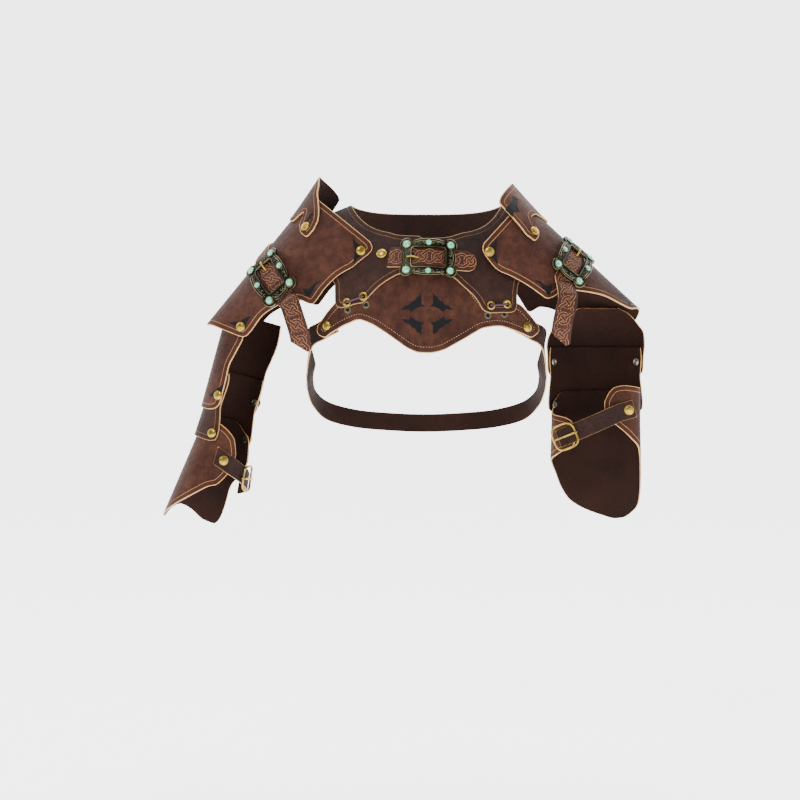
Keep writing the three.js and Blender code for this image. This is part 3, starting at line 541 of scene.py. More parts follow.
class Carrier:
    """A surface that panels are laid on, read by two running lengths."""

    def at(self, u: Points, v: Points) -> tuple[Points, Points]:
        """Returns surface points and points inside the hollow."""
        raise NotImplementedError

    def lifted(self, u: Points, v: Points, off: Points | float) -> tuple[Points, Points]:
        """Reads points a distance above the surface.

        Args:
            u: First running length.
            v: Second running length.
            off: Distance outwards.

        Returns:
            Points and outward normals.
        """
        u, v = np.broadcast_arrays(np.asarray(u, float), np.asarray(v, float))
        e = 0.4
        p, core = self.at(u, v)
        n = unit(np.cross(self.at(u + e, v)[0] - self.at(u - e, v)[0], self.at(u, v + e)[0] - self.at(u, v - e)[0]))
        n = np.where(((p - core) * n).sum(-1, keepdims=True) < 0, -n, n)
        return p + n * np.asarray(off, float)[..., None], n

    def seat(self, u: float, v: float, off: float, lean: float = 0.0) -> "Seat":
        """Returns a seat on the surface, its length turned from +v towards +u by lean degrees."""
        p, n = self.lifted(u, v, off)
        a = radians(lean)
        q, _ = self.lifted(u + 2 * sin(a), v + 2 * cos(a), off)
        return Seat.facing(p, q - p, n)


@dataclass(frozen=True)
class Seat:
    """A place with its length, width and outward directions."""

    o: Points
    ex: Points
    ey: Points
    en: Points

    @classmethod
    def facing(cls, o: Points, along: Points, n: Points) -> "Seat":
        """Makes a seat from a point, a rough length direction and a normal."""
        ex = unit(along - n * (along @ n))
        return cls(o, ex, np.cross(n, ex), n)

    def put(self, local: Points, bend: float = 0.0) -> Points:
        """Places local points, bent round a radius along the length.

        Args:
            local: Points along length, width and outwards.
            bend: Radius of the surface below, or 0 for flat.

        Returns:
            The placed points.
        """
        x, y, z = local.T
        if bend:
            x, z = (bend + z) * np.sin(x / bend), (bend + z) * np.cos(x / bend) - bend
        return self.o + np.outer(x, self.ex) + np.outer(y, self.ey) + np.outer(z, self.en)


@dataclass(frozen=True)
class Arch(Carrier):
    """The rolled shell over one shoulder."""

    start: tuple[float, float]
    along: tuple[float, float]
    out: tuple[float, float]
    shape: Table
    lift: Optional[Table] = None
    face: int = 1

    def at(self, u: Points, v: Points) -> tuple[Points, Points]:
        """Returns shell points and points on its axis."""
        v = v * self.face
        h, b = self.shape.straight("rise", u), self.shape.straight("reach", u)
        up = self.lift.straight("lift", u) if self.lift else 0.0
        a = v / ((h + b) / 2) + np.radians(self.shape.straight("roll", u))
        d, n = (np.array([w[0], 0.0, w[1]]) for w in (self.along, self.out))
        core = np.array([self.start[0], 0.0, self.start[1]]) + u[..., None] * d - h[..., None] * n
        p = core + ((h + up) * np.cos(a))[..., None] * n
        p[..., 1] -= (b + up) * np.sin(a)
        return p, core


@dataclass(frozen=True)
class Collar(Carrier):
    """The neck and chest: degrees round the neck, then run down from it."""

    side: float = 96.0
    front: float = 75.0
    back: float = 55.0
    front_drop: float = 39.0
    back_drop: float = 8.0
    shoulder: float = 22.0
    chest: float = 62.0
    hang: float = 82.0

    def at(self, u: Points, v: Points) -> tuple[Points, Points]:
        """Returns body points and points inside the chest."""
        a = np.radians(u)
        c, s = np.cos(a), np.sin(a)
        cc, ahead = np.abs(c), c > 0
        y = -np.where(ahead, self.front, self.back) * c
        z = -np.where(ahead, self.front_drop * smooth(c), self.back_drop * smooth(-c))
        s1, s2 = np.radians(self.shoulder + (self.chest - self.shoulder) * cc), radians(self.hang)
        flat, bend = 60.0 - 50.0 * cc, 60.0 + 20.0 * cc
        w0 = np.minimum(v, flat)
        w1 = np.clip(v - flat, 0, bend)
        w2 = np.maximum(v - flat - bend, 0)
        k = (s2 - s1) / bend
        out = w0 * np.cos(s1) + (np.sin(s1 + k * w1) - np.sin(s1)) / k + w2 * cos(s2)
        down = w0 * np.sin(s1) + (np.cos(s1) - np.cos(s1 + k * w1)) / k + w2 * sin(s2)
        p = np.stack([self.side * s + out * s, y - out * c, z - down], -1)
        return p, np.stack([0 * z, 0 * z, z - down - 60], -1)


@dataclass(frozen=True)
class ArmTube(Carrier):
    """A curled guard round one arm's straight axis."""

    origin: tuple
    axis: tuple
    side: tuple
    front: tuple
    core: tuple
    start: float
    turn: float
    curl: tuple
    flare: Table

    def at(self, u: Points, v: Points) -> tuple[Points, Points]:
        """Returns guard points and points beside the axis."""
        o, ax, e1, e2 = (np.array(w, float) for w in (self.origin, self.axis, self.side, self.front))
        t = radians(self.turn)
        eb, ea = e1 * cos(t) + e2 * sin(t), e2 * cos(t) - e1 * sin(t)
        a, x, y, left = 0 * v, 0 * v, 0 * v + self.start, np.abs(v)
        for run, radius in self.curl:
            w, k = np.minimum(left, run), 1 / radius
            x = x + (np.sin(a + k * w) - np.sin(a)) / k
            y = y + (np.cos(a + k * w) - np.cos(a)) / k
            a, left = a + k * w, left - w
        g = self.flare.straight("grow", u)
        core = o + u[..., None] * ax
        p = core + (y * g)[..., None] * eb + (np.sign(v) * x * g)[..., None] * ea
        return p, core + np.array(self.core, float)


# ---- flat cuts
class Flat:
    """A cut laid flat: vertices (u, v), triangles and fields on the vertices."""

    def __init__(self, uv: Points, triangles: Points) -> None:
        """Stores the two running lengths of each vertex and the triangles."""
        self.uv, self.triangles = uv, triangles
        self.fields: dict[str, Points] = {}

    @classmethod
    def between(cls, at: Points, low: Points, high: Points, step: float, swap: bool) -> "Flat":
        """Fills the cut between two curves.

        Args:
            at: Columns.
            low: Lower end of each column.
            high: Upper end of each column.
            step: Row length.
            swap: True when the columns run along the second length.

        Returns:
            The filled cut.
        """
        rows = max(2, int(ceil((high - low).max() / step)))
        w = low[:, None] + (high - low)[:, None] * np.linspace(0, 1, rows + 1)
        grid = np.stack([np.repeat(at[:, None], rows + 1, 1), w], -1)
        if swap:
            grid = grid[..., ::-1]
        n, m = len(at), rows + 1
        k = np.arange(n * m).reshape(n, m)
        a, b, c, d = (q.ravel() for q in (k[:-1, :-1], k[1:, :-1], k[1:, 1:], k[:-1, 1:]))
        flat = grid.reshape(-1, 2)
        short = norm(flat[a] - flat[c], axis=1) < norm(flat[b] - flat[d], axis=1)
        one = np.where(short[:, None], np.stack([a, b, c], 1), np.stack([a, b, d], 1))
        two = np.where(short[:, None], np.stack([a, c, d], 1), np.stack([b, c, d], 1))
        return cls(flat, np.concatenate([one, two]))

    def edges(self) -> tuple[Points, Points, Points]:
        """Returns unique edges, the three edge numbers of each triangle and each edge's uses."""
        t = self.triangles
        pairs = np.sort(np.stack([t[:, [0, 1]], t[:, [1, 2]], t[:, [2, 0]]], 1), axis=2).reshape(-1, 2)
        keys, where, uses = np.unique(pairs, axis=0, return_inverse=True, return_counts=True)
        return keys, where.reshape(-1, 3), uses

    def split(self, share: Callable[[Points], Points]) -> None:
        """Splits edges and the triangles on them.

        Args:
            share: Gives each edge's split place from 0 to 1, or not-a-number for none.
        """
        keys, where, _ = self.edges()
        t = share(keys)
        cut = ~np.isnan(t)
        number = np.full(len(keys), -1)
        number[cut] = len(self.uv) + np.arange(cut.sum())
        a, b, t = keys[cut, 0], keys[cut, 1], t[cut]
        self.uv = np.concatenate([self.uv, self.uv[a] * (1 - t[:, None]) + self.uv[b] * t[:, None]])
        for name, values in self.fields.items():
            self.fields[name] = np.concatenate([values, values[a] * (1 - t) + values[b] * t])
        marks, tri = number[where], self.triangles
        count = (marks >= 0).sum(1)
        made = [tri[count == 0]]

        def turned(rows: Points, first: Points) -> tuple[Points, Points]:
            order = (np.arange(3) + first[:, None]) % 3
            return np.take_along_axis(tri[rows], order, 1), np.take_along_axis(marks[rows], order, 1)

        rows = np.flatnonzero(count == 1)
        q, m = turned(rows, (marks[rows] >= 0).argmax(1))
        made += [np.stack([q[:, 0], m[:, 0], q[:, 2]], 1), np.stack([m[:, 0], q[:, 1], q[:, 2]], 1)]
        rows = np.flatnonzero(count == 2)
        q, m = turned(rows, ((marks[rows] < 0).argmax(1) + 2) % 3)
        made += [
            np.stack(s, 1)
            for s in ((q[:, 0], m[:, 0], m[:, 2]), (m[:, 0], q[:, 1], m[:, 2]), (q[:, 1], q[:, 2], m[:, 2]))
        ]
        rows = np.flatnonzero(count == 3)
        q, m = turned(rows, np.zeros(len(rows), int))
        made += [
            np.stack(s, 1)
            for s in (
                (q[:, 0], m[:, 0], m[:, 2]), (m[:, 0], q[:, 1], m[:, 1]), (m[:, 2], m[:, 1], q[:, 2]),
                (m[:, 0], m[:, 1], m[:, 2])
            )
        ]
        self.triangles = np.concatenate(made)

    def slice(self, name: str, level: float) -> None:
        """Lays mesh edges exactly along one level of a field."""
        f, snap = self.fields[name], 0.1
        f[np.abs(f - level) < snap] = level

        def share(keys: Points) -> Points:
            a, b = f[keys[:, 0]] - level, f[keys[:, 1]] - level
            return np.where(a * b < 0, a / np.where(a == b, 1, a - b), np.nan)

        self.split(share)
        self.fields[name][len(f):] = level

    def drop(self, gone: Points) -> None:
        """Removes triangles and the vertices that nothing uses."""
        self.triangles = self.triangles[~gone]
        used = np.unique(self.triangles)
        number = np.full(len(self.uv), -1)
        number[used] = np.arange(len(used))
        self.triangles, self.uv = number[self.triangles], self.uv[used]
        self.fields = {k: v[used] for k, v in self.fields.items()}

    def rim(self) -> Points:
        """Returns the border edges, turned as their triangle turns."""
        t = self.triangles
        _, where, uses = self.edges()
        pairs = np.stack([t[:, [0, 1]], t[:, [1, 2]], t[:, [2, 0]]], 1)
        return pairs[uses[where] == 1]


def to_segments(points: Points, starts: Points, ends: Points) -> Points:
    """Returns each point's distance to the nearest segment.

    Args:
        points: Points in two or three dimensions.
        starts: Segment starts.
        ends: Segment ends.

    Returns:
        One distance a point.
    """
    best = np.full(len(points), 1e9)
    run = ends - starts
    length = np.maximum((run**2).sum(1), 1e-12)
    for k in range(0, len(points), 1500):
        gap = points[k : k + 1500, None, :] - starts[None]
        t = np.clip((gap * run).sum(2) / length, 0, 1)
        best[k : k + 1500] = np.sqrt(((gap - t[..., None] * run) ** 2).sum(2)).min(1)
    return best


def inside_depth(points: Points, outline: Points) -> Points:
    """Returns how deep points lie in a closed outline, below zero outside."""
    a, b = outline, np.roll(outline, -1, 0)
    x, y = points[:, 0, None], points[:, 1, None]
    span = (a[:, 1] > y) != (b[:, 1] > y)
    cross = (b[:, 0] - a[:, 0]) * (y - a[:, 1]) / np.where(b[:, 1] == a[:, 1], 1e-9, b[:, 1] - a[:, 1]) + a[:, 0]
    odd = (span & (x < cross)).sum(1) % 2 == 1
    return np.where(odd, 1, -1) * to_segments(points, a, b)


def scallops(a: Points, b: Points, pull: Points, count: int, sag: float) -> list:
    """Points along a bowed line with hollow bites between sharp cusps.

    Args:
        a: Start.
        b: End.
        pull: Point that the line bows towards.
        count: Number of bites.
        sag: Depth of each bite.

    Returns:
        The points after the start, up to the end.
    """
    a, b, pull = (np.array(q, float) for q in (a, b, pull))
    marks = [(1 - t) ** 2 * a + 2 * t * (1 - t) * pull + t * t * b for t in np.linspace(0, 1, count + 1)]
    made = []
    for p, q in zip(marks, marks[1:]):
        side = np.array([p[1] - q[1], q[0] - p[0]]) / norm(q - p)
        side *= np.sign((pull * 0.55 - (p + q) / 2) @ side) or 1
        made += [(1 - t) * p + t * q + side * sag * 4 * t * (1 - t) for t in (0.3, 0.6, 0.85, 1.0)]
    return made


def wing() -> Points:
    """One dark wing in the quadrant right of and above the crossing."""
    inner = [
        (7.2, 27.0), (6.4, 19.5), (6.6, 13.2), (3.0, 9.6), (7.6, 9.3), (12.2, 7.2), (15.6, 4.6), (18.8, 2.4),
        (21.0, 6.4), (26.0, 5.6), (32.4, 6.2)
    ]
    return np.array(inner + scallops((32.4, 6.2), (7.2, 27.0), (15.5, 14.5), 4, 1.5)[:-1])


def horns(long_x: float, long_y: float) -> Points:
    """Two horns that spread from a rivet along +x and +y."""
    return np.array([
        (-4.6, -4.6), (3.0, -4.2), (long_x * 0.6, -3.2), (long_x, -4.4), (long_x * 0.72, 0.2), (long_x * 0.5, 3.4),
        (7.5, 4.2), (5.4, 5.4), (4.2, 7.5), (3.4, long_y * 0.5), (0.2, long_y * 0.72), (-4.4, long_y),
        (-3.2, long_y * 0.6), (-4.2, 3.0)
    ])


@dataclass(frozen=True)
class Inlay:
    """Dark shapes set round one place of a panel."""

    u: float
    v: float
    outlines: tuple
    flip: tuple[int, int] = (1, 1)
    lean: float = 0.0

    def depth(self, carrier: Carrier, points: Points) -> Points:
        """Returns how deep points lie in the shapes, below zero outside."""
        here = np.array([self.u]), np.array([self.v])
        p = carrier.lifted(*here, 0.0)[0]
        ex = unit(carrier.lifted(here[0] + 1, here[1], 0.0)[0] - p)[0]
        ey = unit(carrier.lifted(here[0], here[1] + 1, 0.0)[0] - p)[0]
        gap = points - p[0]
        near = norm(gap, axis=1) < 60  # no inlay reaches farther
        a = radians(self.lean)
        x, y = gap[near] @ ex, gap[near] @ ey
        flat = np.stack([(x * cos(a) + y * sin(a)) * self.flip[0], (y * cos(a) - x * sin(a)) * self.flip[1]], 1)
        deep = np.full(len(points), NO_INK)
        deep[near] = np.max([inside_depth(flat, o) for o in self.outlines], axis=0)
        return deep


# ---- meshes
class Pile:
    """Gathers vertices, faces, finishes and readings into one object."""

    def __init__(self) -> None:
        """Starts empty."""
        self.points: list[Points] = []
        self.faces: list[Points] = []
        self.slots: list[Points] = []
        # The high reading lightens aged bronze on its crests: partly worn polish and partly painted highlight.
        self.readings: dict[str, list[Points]] = {"edge": [], "ink": [], "tool": [], "high": []}
        self.finishes: list[Material] = []
        self.count = 0

    def add(self, points: Points, faces: Points, finish: Material, **readings: Points) -> int:
        """Adds a patch of triangles.

        Args:
            points: Millimetre points.
            faces: Three numbers a triangle, within these points.
            finish: Material of the patch.
            readings: Values a vertex, by attribute name.

        Returns:
            The number of the first vertex added.
        """
        first = self.count
        self.points.append(np.asarray(points, float))
        for name, kept in self.readings.items():
            value = readings.get(name, {"edge": NO_EDGE, "ink": NO_INK}.get(name, 0.0))
            kept.append(np.broadcast_to(np.asarray(value, float), (len(points),)))
        self.count += len(points)
        self.extend(np.asarray(faces) + first, finish)
        return first

    def extend(self, faces: Points, finish: Material) -> None:
        """Adds faces over vertices that are already there."""
        if finish not in self.finishes:
            self.finishes.append(finish)
        self.faces.append(np.asarray(faces, int))
        self.slots.append(np.full(len(faces), self.finishes.index(finish)))

    def make(self, name: str, crease: float = 38.0) -> Piece:
        """Makes the object.

        Args:
            name: Object name.
            crease: Degrees past which an edge stays sharp.

        Returns:
            The finished object at the origin.
        """
        points, faces = np.concatenate(self.points) * MM, np.concatenate(self.faces)
        mesh = bpy.data.meshes.new(name)
        mesh.vertices.add(len(points))
        mesh.vertices.foreach_set("co", points.astype(np.float32).ravel())
        mesh.loops.add(faces.size)
        mesh.loops.foreach_set("vertex_index", faces.astype(np.int32).ravel())
        mesh.polygons.add(len(faces))
        mesh.polygons.foreach_set("loop_start", np.arange(0, faces.size, 3, dtype=np.int32))
        mesh.polygons.foreach_set("material_index", np.concatenate(self.slots).astype(np.int32))
        mesh.update(calc_edges=True)
        for key, kept in self.readings.items():
            values = np.concatenate(kept)
            if np.ptp(values) > 1e-6:
                mesh.attributes.new(key, "FLOAT", "POINT").data.foreach_set("value", values.astype(np.float32))
        for finish in self.finishes:
            mesh.materials.append(finish)
        made = bpy.data.objects.new(name, mesh)
        bpy.context.scene.collection.objects.link(made)
        select_only(made)
        bpy.ops.object.shade_smooth_by_angle(angle=radians(crease))
        return made


def select_only(one: Optional[Piece]) -> None:
    """Selects one object, or nothing."""
    for other in bpy.context.view_layer.objects:
        other.select_set(False)
    if one is not None:
        one.select_set(True)
        bpy.context.view_layer.objects.active = one


def outward(points: Points, faces: Points) -> Points:
    """Turns a closed patch's triangles so that they face outwards."""
    a, b, c = (points[faces[:, k]] for k in range(3))
    return faces if (a * np.cross(b, c)).sum() > 0 else faces[:, ::-1]


def strung(rings: Points, closed: bool = False) -> Points:
    """Triangles over a run of rings, with both ends filled unless the run closes.

    Args:
        rings: Points as (rings, around, 3).
        closed: True when the last ring joins the first.

    Returns:
        Triangles into the flattened points.
    """
    n, m = rings.shape[:2]
    k = np.arange(n * m).reshape(n, m)
    last = np.roll(k, -1, 0) if closed else k[1:]
    here = k if closed else k[:-1]
    a, b, c, d = here, last, np.roll(last, -1, 1), np.roll(here, -1, 1)
    faces = [np.stack([a, b, c], -1).reshape(-1, 3), np.stack([a, c, d], -1).reshape(-1, 3)]
    if not closed:
        fan = np.arange(1, m - 1)
        faces += [
            np.stack([np.full(m - 2, k[0, 0]), k[0, fan], k[0, fan + 1]], 1),
            np.stack([np.full(m - 2, k[-1, 0]), k[-1, fan + 1], k[-1, fan]], 1)
        ]
    faces = np.concatenate(faces)
    return outward(rings.reshape(-1, 3) - rings.reshape(-1, 3).mean(0), faces)


def tubed(path: Points, radius: Points | float, around: int, closed: bool = False) -> tuple[Points, Points]:
    """Sweeps a round section along a path.

    Args:
        path: Points along the path.
        radius: One radius, or one a point.
        around: Points round the section.
        closed: True when the path joins up.

    Returns:
        Points and triangles.
    """
    run = unit(np.roll(path, -1, 0) - np.roll(path, 1, 0)) if closed else unit(np.gradient(path, axis=0))
    side = np.cross(run[0], [0.21, 0.34, 0.92])
    sides = []
    for r in run:
        side = unit(side - r * (side @ r))
        sides.append(side)
    sides = np.array(sides)
    other = np.cross(run, sides)
    a = np.linspace(0, 2 * pi, around, endpoint=False)
    size = np.broadcast_to(np.asarray(radius, float), (len(path),))[:, None, None]
    c, s = np.cos(a)[None, :, None], np.sin(a)[None, :, None]
    rings = path[:, None] + size * (c * sides[:, None] + s * other[:, None])
    return rings.reshape(-1, 3), strung(rings, closed)


def along_line(line: Points, spots: Points) -> Points:
    """Returns points at given lengths along a line, or vectors kept with it."""
    run = run_along(line[:, :3])
    return np.stack([np.interp(spots, run, column) for column in line.T], 1)


def finished(piece: Piece, slot: str, *nodes: str) -> Piece:
    """Hangs a piece on the body, in place of any node it stands for."""
    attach(piece, BODY)
    if nodes:
        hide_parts(*nodes)
    LOG.info("%s: %d faces", piece.name, len(piece.data.polygons) if piece.type == "MESH" else 0)
    return piece


# ---- cut tables
LEFT_SHAPE = Table(
    "at rise reach roll",
    (-30, 104, 74, 0), (0, 101.7, 79, 0), (30, 97, 83, 0), (60, 92, 83, 0), (120, 80, 73, 0), (200, 60, 46, 0),
    (222, 58, 44, 0),
)
RIGHT_SHAPE = Table(
    "at rise reach roll",
    (-30, 90, 88, 4), (0, 88, 91, 3), (30, 87, 91, 3), (65, 86, 88.5, -1), (105, 83, 83, -7), (146, 80, 80, -15),
    (181, 78, 78, -24),
    (222, 77, 77, -34),
)
PAULDRON_TIP = (
    (113.5, 116.3), (137.6, 96.3), (161.1, 84.6), (183.2, 80.7), (194.8, 76.7), (204.6, 51.9), (215.8, 7.2),
)
PAULDRON_CUT_L = Table(
    "at half",
    (0, 139.5), (2.5, 145), (6.5, 148.2), (12, 149.2), (20, 148.8), (36.5, 147.4), (52.4, 142.3), (73.1, 137.4),
    (85, 135.7), (104.6, 135),
    (109, 131), *PAULDRON_TIP,
)
PAULDRON_CUT_R = Table(
    "at half",
    (0, 127), (2.5, 132), (7, 135.6), (13, 137.6), (20, 139), (36.5, 141), (52.4, 137.6), (73.1, 134.9), (85, 134.3),
    (104.6, 134.3), (109, 130.6),
    *PAULDRON_TIP,
)
GUARD_CUT = Table(
    "across neck arm",
    (-79, 33, 44), (-77, 24, 46), (-72, -20, 46), (-60, -24, 42), (-46, -25, 22), (-30, -25, 24), (0, -25, 43),
    (30, -16, 43), (42, -6, 24),
    (54, 1, 40), (68, 12, 47), (76, 22, 47), (79, 33, 43),
)
GUARD_LIFT = Table(
    "at lift",
    (-30, 6), (0, 3), (30, 0.6), (60, 0),
)
YOKE_CUT = Table(
    "turn inner reach",
    (-9, 7, 49), (6, 6.5, 55), (15.7, 5, 61.5), (20.7, 3, 72.7), (24.9, 1, 82.6), (28.5, 0, 94.1), (30.7, 0, 105.3),
    (33.7, 0, 111.3),
    (41.1, 0, 116.7), (48, 0, 122.1), (49.6, 0, 118.5), (50.4, 0, 104), (51.5, 0, 94), (55, 0, 84), (70, 0, 56),
    (90, 0, 42), (110, 0, 48),
    (130, 0, 70), (150, 0, 88), (180, 0, 84), (210, 0, 88), (230, 0, 78), (250, 0, 66), (270, 0, 60), (290, 0, 74),
    (304, 0, 88), (307.5, 0, 93),
    (308.3, 0, 104), (309, 0, 115), (310.6, 0, 118.3), (314.3, 0, 114.4), (319.6, 0, 105.5), (324, 0, 100),
    (326.2, 0, 93.6), (329.4, 0, 83),
    (332.5, 1, 74.4), (337.7, 3, 64.4), (343.1, 4, 57.4), (354, 5, 52), (357, 9, 51), (364, 24, 50),
)
YOKE_LAP = Table(
    "turn base",
    (-9, 0), (326, 0), (336, 0.8), (344, 1.9), (349, 2.3), (364, 2.3),
)
CHEST_CUT = Table(
    "turn top foot",
    (-59.6, 156, 163.5), (-58, 147, 165.5), (-55.1, 131, 164), (-52.2, 118, 155.4), (-49.6, 107, 148),
    (-45.7, 101, 137.5), (-42.4, 96, 130.8),
    (-39.1, 91, 124.6), (-36.5, 86, 122.4), (-31.5, 72, 123.8), (-23.7, 54, 131.2), (-15.9, 47, 141.9),
    (-10.3, 45, 150.1), (-3.9, 44, 155),
    (1.4, 44, 155.3), (8.8, 44, 151.8), (14, 48, 146), (20.9, 60, 138.4), (26, 74, 133), (30.9, 92, 129.4),
    (35, 99, 130), (39.8, 104, 132.8),
    (47.4, 109, 145.5), (51.7, 117, 155), (57, 138.3, 166), (59.5, 151, 166), (60.9, 158, 164),
)
UPPER_CUT_L = Table(
    "at half",
    (-34, 72), (-8, 76), (14, 71.5), (33, 67.5), (50, 68.4), (80, 69), (88, 65.6), (92, 58), (93.5, 49.4),
)
UPPER_CUT_R = Table(
    "at half far",
    (-18, 30, 45), (-12, 42, 60), (-4, 54, 66), (4, 62, 70), (12, 68, 76), (22, 74, 77), (32, 77, 77), (45, 75, 75),
    (62, 74, 74), (68, 70, 70),
    (71, 62, 62), (72.5, 52, 52),
)
MIDDLE_CUT_L = Table(
    "at half",
    (42, 65), (56, 67), (83, 65), (102, 68.8), (119, 71.6), (128, 70.7), (131.5, 62.6),
)
MIDDLE_CUT_R = Table(
    "at half",
    (33, 69), (47, 71), (72, 69), (90, 72), (106, 74), (114, 73), (117.5, 66),
)
CUFF_CUT_L = Table(
    "across top foot",
    (-96, 139, 150), (-90, 124, 158), (-82, 117, 168), (-72, 113, 178), (-66, 109, 190), (-64, 108, 215),
    (-61, 106, 234), (-56, 104, 243),
    (-46, 103, 242), (-28, 103, 231), (-15, 103, 227), (-3, 103, 232), (10, 103, 245), (17, 103, 241), (46, 103, 215),
    (61, 106, 199), (73, 110, 187),
    (80, 113.6, 183.5), (86, 118, 175), (90, 122, 168), (94, 131, 160), (97, 140, 150),
)
CUFF_CUT_R = Table(
    "across top foot",
    (-112, 136, 158), (-106, 127, 164), (-97, 123, 168), (-85, 121, 175), (-76, 119, 179), (-66, 113, 185),
    (-58, 101, 194), (-45, 92, 217),
    (-30, 91, 236), (-9, 91, 249), (12, 91, 257), (28, 91, 261), (40, 91, 259), (52, 91, 251), (62, 91, 241),
    (70, 88, 218), (76, 86, 186),
    (84, 85, 164), (96, 83, 153), (106, 82, 143), (118, 84, 133), (126, 91, 127), (132, 103, 121),
)
STRAP_ROWS = Table(
    "turn top foot",
    (-24.5, 23.5, 50.5), (-12, 21.5, 48.5), (0, 21, 48), (12, 23.5, 50.5), (23, 28, 55), (28, 31, 56.5), (31, 37, 52),
)
CUFF_STRAP_R = Table(
    "x y z wx wy wz",
    (271, 0.2, -262, 0.4, 0, 0.92), (250, -0.8, -268, 0.4, 0, 0.92), (225, -3, -279, 0.42, 0, 0.9),
    (200, -2.6, -290, 0.42, 0, 0.9),
    (184, -0.8, -297, 0.42, 0, 0.9), (172, 0.2, -302, 0.42, 0, 0.9),
)
BAND_PATH = Table(
    "x y z wx wy wz",
    (-148, -27, -212, 0.45, 0.5, 0.7), (-150, 8, -232, 0.25, 0.5, 0.85), (-146, 48, -252, 0.05, 0.4, 0.9),
    (-130, 84, -269, 0, 0.1, 1),
    (-95, 108, -280, 0, 0, 1), (-50, 118, -285, 0, 0, 1), (0, 120, -287, 0, 0, 1),
)
TAIL_L = Table(
    "x y z wx wy wz",
    (-173, -88, -125, -0.75, 0, -0.5), (-166, -91, -145, -0.9, 0, -0.4), (-160, -90, -166, -0.97, 0, -0.25),
    (-157, -86, -188, -1, 0, -0.05),
)
TAIL_R = Table(
    "x y z wx wy wz",
    (176, -94, -122, -0.97, 0, 0.2), (171, -96, -142, -0.98, 0, 0.15), (168, -94, -161, -1, 0, 0.08),
    (167, -90, -179, -1, 0, 0),
)
BAND_ROOT = Table(
    "turn run",
    (-50.5, 139), (-54.4, 149), (-58.5, 161), (-63, 175),
)

ARM_L = dict(
    origin=(-228.8, 0, -179.5), axis=(-0.264, 0, -0.964), side=(-0.964, 0, 0.264), front=(0, -1, 0), core=(0, 0, 0)
)
ARM_R = dict(origin=(223, 0, -150), axis=(0, 0, -1), side=(0, 1, 0), front=(1, 0, 0), core=(0, 34, 0))


def tube(arm: dict, start: float, turn: float, curl: tuple, *flare: tuple) -> ArmTube:
    """Makes a guard's carrier from its arm and its flare's rows of distance and growth."""
    return ArmTube(**arm, start=start, turn=turn, curl=curl, flare=Table("at grow", *flare))


UPPER_L = tube(ARM_L, 38.5, -35, ((999, 38.5),), (0, 1), (100, 1))
MIDDLE_L = tube(ARM_L, 35.9, -35, ((999, 35.9),), (0, 0.99), (96, 0.99), (131, 1.04))
CUFF_L = tube(ARM_L, 38, -20, ((999, 38),), (80, 0.85), (116, 0.855), (132, 0.9), (245, 1.316))
UPPER_R = tube(
    ARM_R, 66, 0, ((999, 73),), (-24, 0.64), (-14, 0.75), (-5, 0.86), (4, 0.935), (14, 0.985), (24, 1), (100, 1)
)
MIDDLE_R = tube(ARM_R, 63.3, 0, ((999, 70.3),), (0, 1), (150, 1))
CUFF_R = tube(ARM_R, 60.8, 0, ((58, 67.8), (50, 21), (999, 260)), (80, 1), (130, 1), (260, 1.06))
COLLAR = Collar()


# ---- straps along a line
class Ribbon(Carrier):
    """A strap's line with its width and outward directions."""

    def __init__(self, centre: Points, width: Points, outward_: Points) -> None:
        """Stores the middle line with its width and outward directions."""
        self.frames = np.concatenate([centre, width, outward_], 1)
        self.run = run_along(centre)

    @property
    def length(self) -> float:
        """Length along the middle."""
        return float(self.run[-1])

    def frame(self, u: Points) -> tuple[Points, Points, Points]:
        """Returns centre, width and outward directions at running lengths."""
        got = np.stack([np.interp(u, self.run, column) for column in self.frames.T], -1)
        return got[..., :3], unit(got[..., 3:6]), unit(got[..., 6:])

    def lifted(self, u: Points, v: Points, off: Points | float) -> tuple[Points, Points]:
        """Reads strap points: u along it, v across it."""
        u, v = np.broadcast_arrays(np.asarray(u, float), np.asarray(v, float))
        c, w, n = self.frame(u)
        return c + w * v[..., None] + n * np.asarray(off, float)[..., None], n

    @classmethod
    def through(cls, rows: Points, outward_: Callable[[Points], Points], count: int = 120) -> "Ribbon":
        """Runs a strap through points that carry their width direction.

        Args:
            rows: Six numbers a point, place and width direction.
            outward_: Gives the rough outward direction at a point.
            count: Steps along the strap.

        Returns:
            The strap's line.
        """
        p = rows[:, :3]
        ends = np.vstack([2 * p[0] - p[1], p, 2 * p[-1] - p[-2]])
        t = np.linspace(0, len(rows) - 1, count + 1)
        k = np.minimum(t.astype(int), len(rows) - 2)
        g = (t - k)[:, None]
        a, b, c, d = (ends[k + i] for i in range(4))
        r = [np.maximum(norm(q - s, axis=1) ** 0.5, 1e-4)[:, None] for s, q in ((a, b), (b, c), (c, d))]
        m1 = ((b - a) / r[0] - (c - a) / (r[0] + r[1]) + (c - b) / r[1]) * r[1]
        m2 = ((c - b) / r[1] - (d - b) / (r[1] + r[2]) + (d - c) / r[2]) * r[1]
        g2, g3 = g * g, g * g * g
        centre = b * (2 * g3 - 3 * g2 + 1) + m1 * (g3 - 2 * g2 + g) + c * (3 * g2 - 2 * g3) + m2 * (g3 - g2)
        along = unit(np.gradient(centre, axis=0))
        w = rows[k, 3:] * (1 - g) + rows[k + 1, 3:] * g
        w = unit(w - along * (w * along).sum(1, keepdims=True))
        n = unit(np.cross(w, along))
        n = np.where((n * outward_(centre)).sum(1, keepdims=True) < 0, -n, n)
        return cls(centre, w, n)


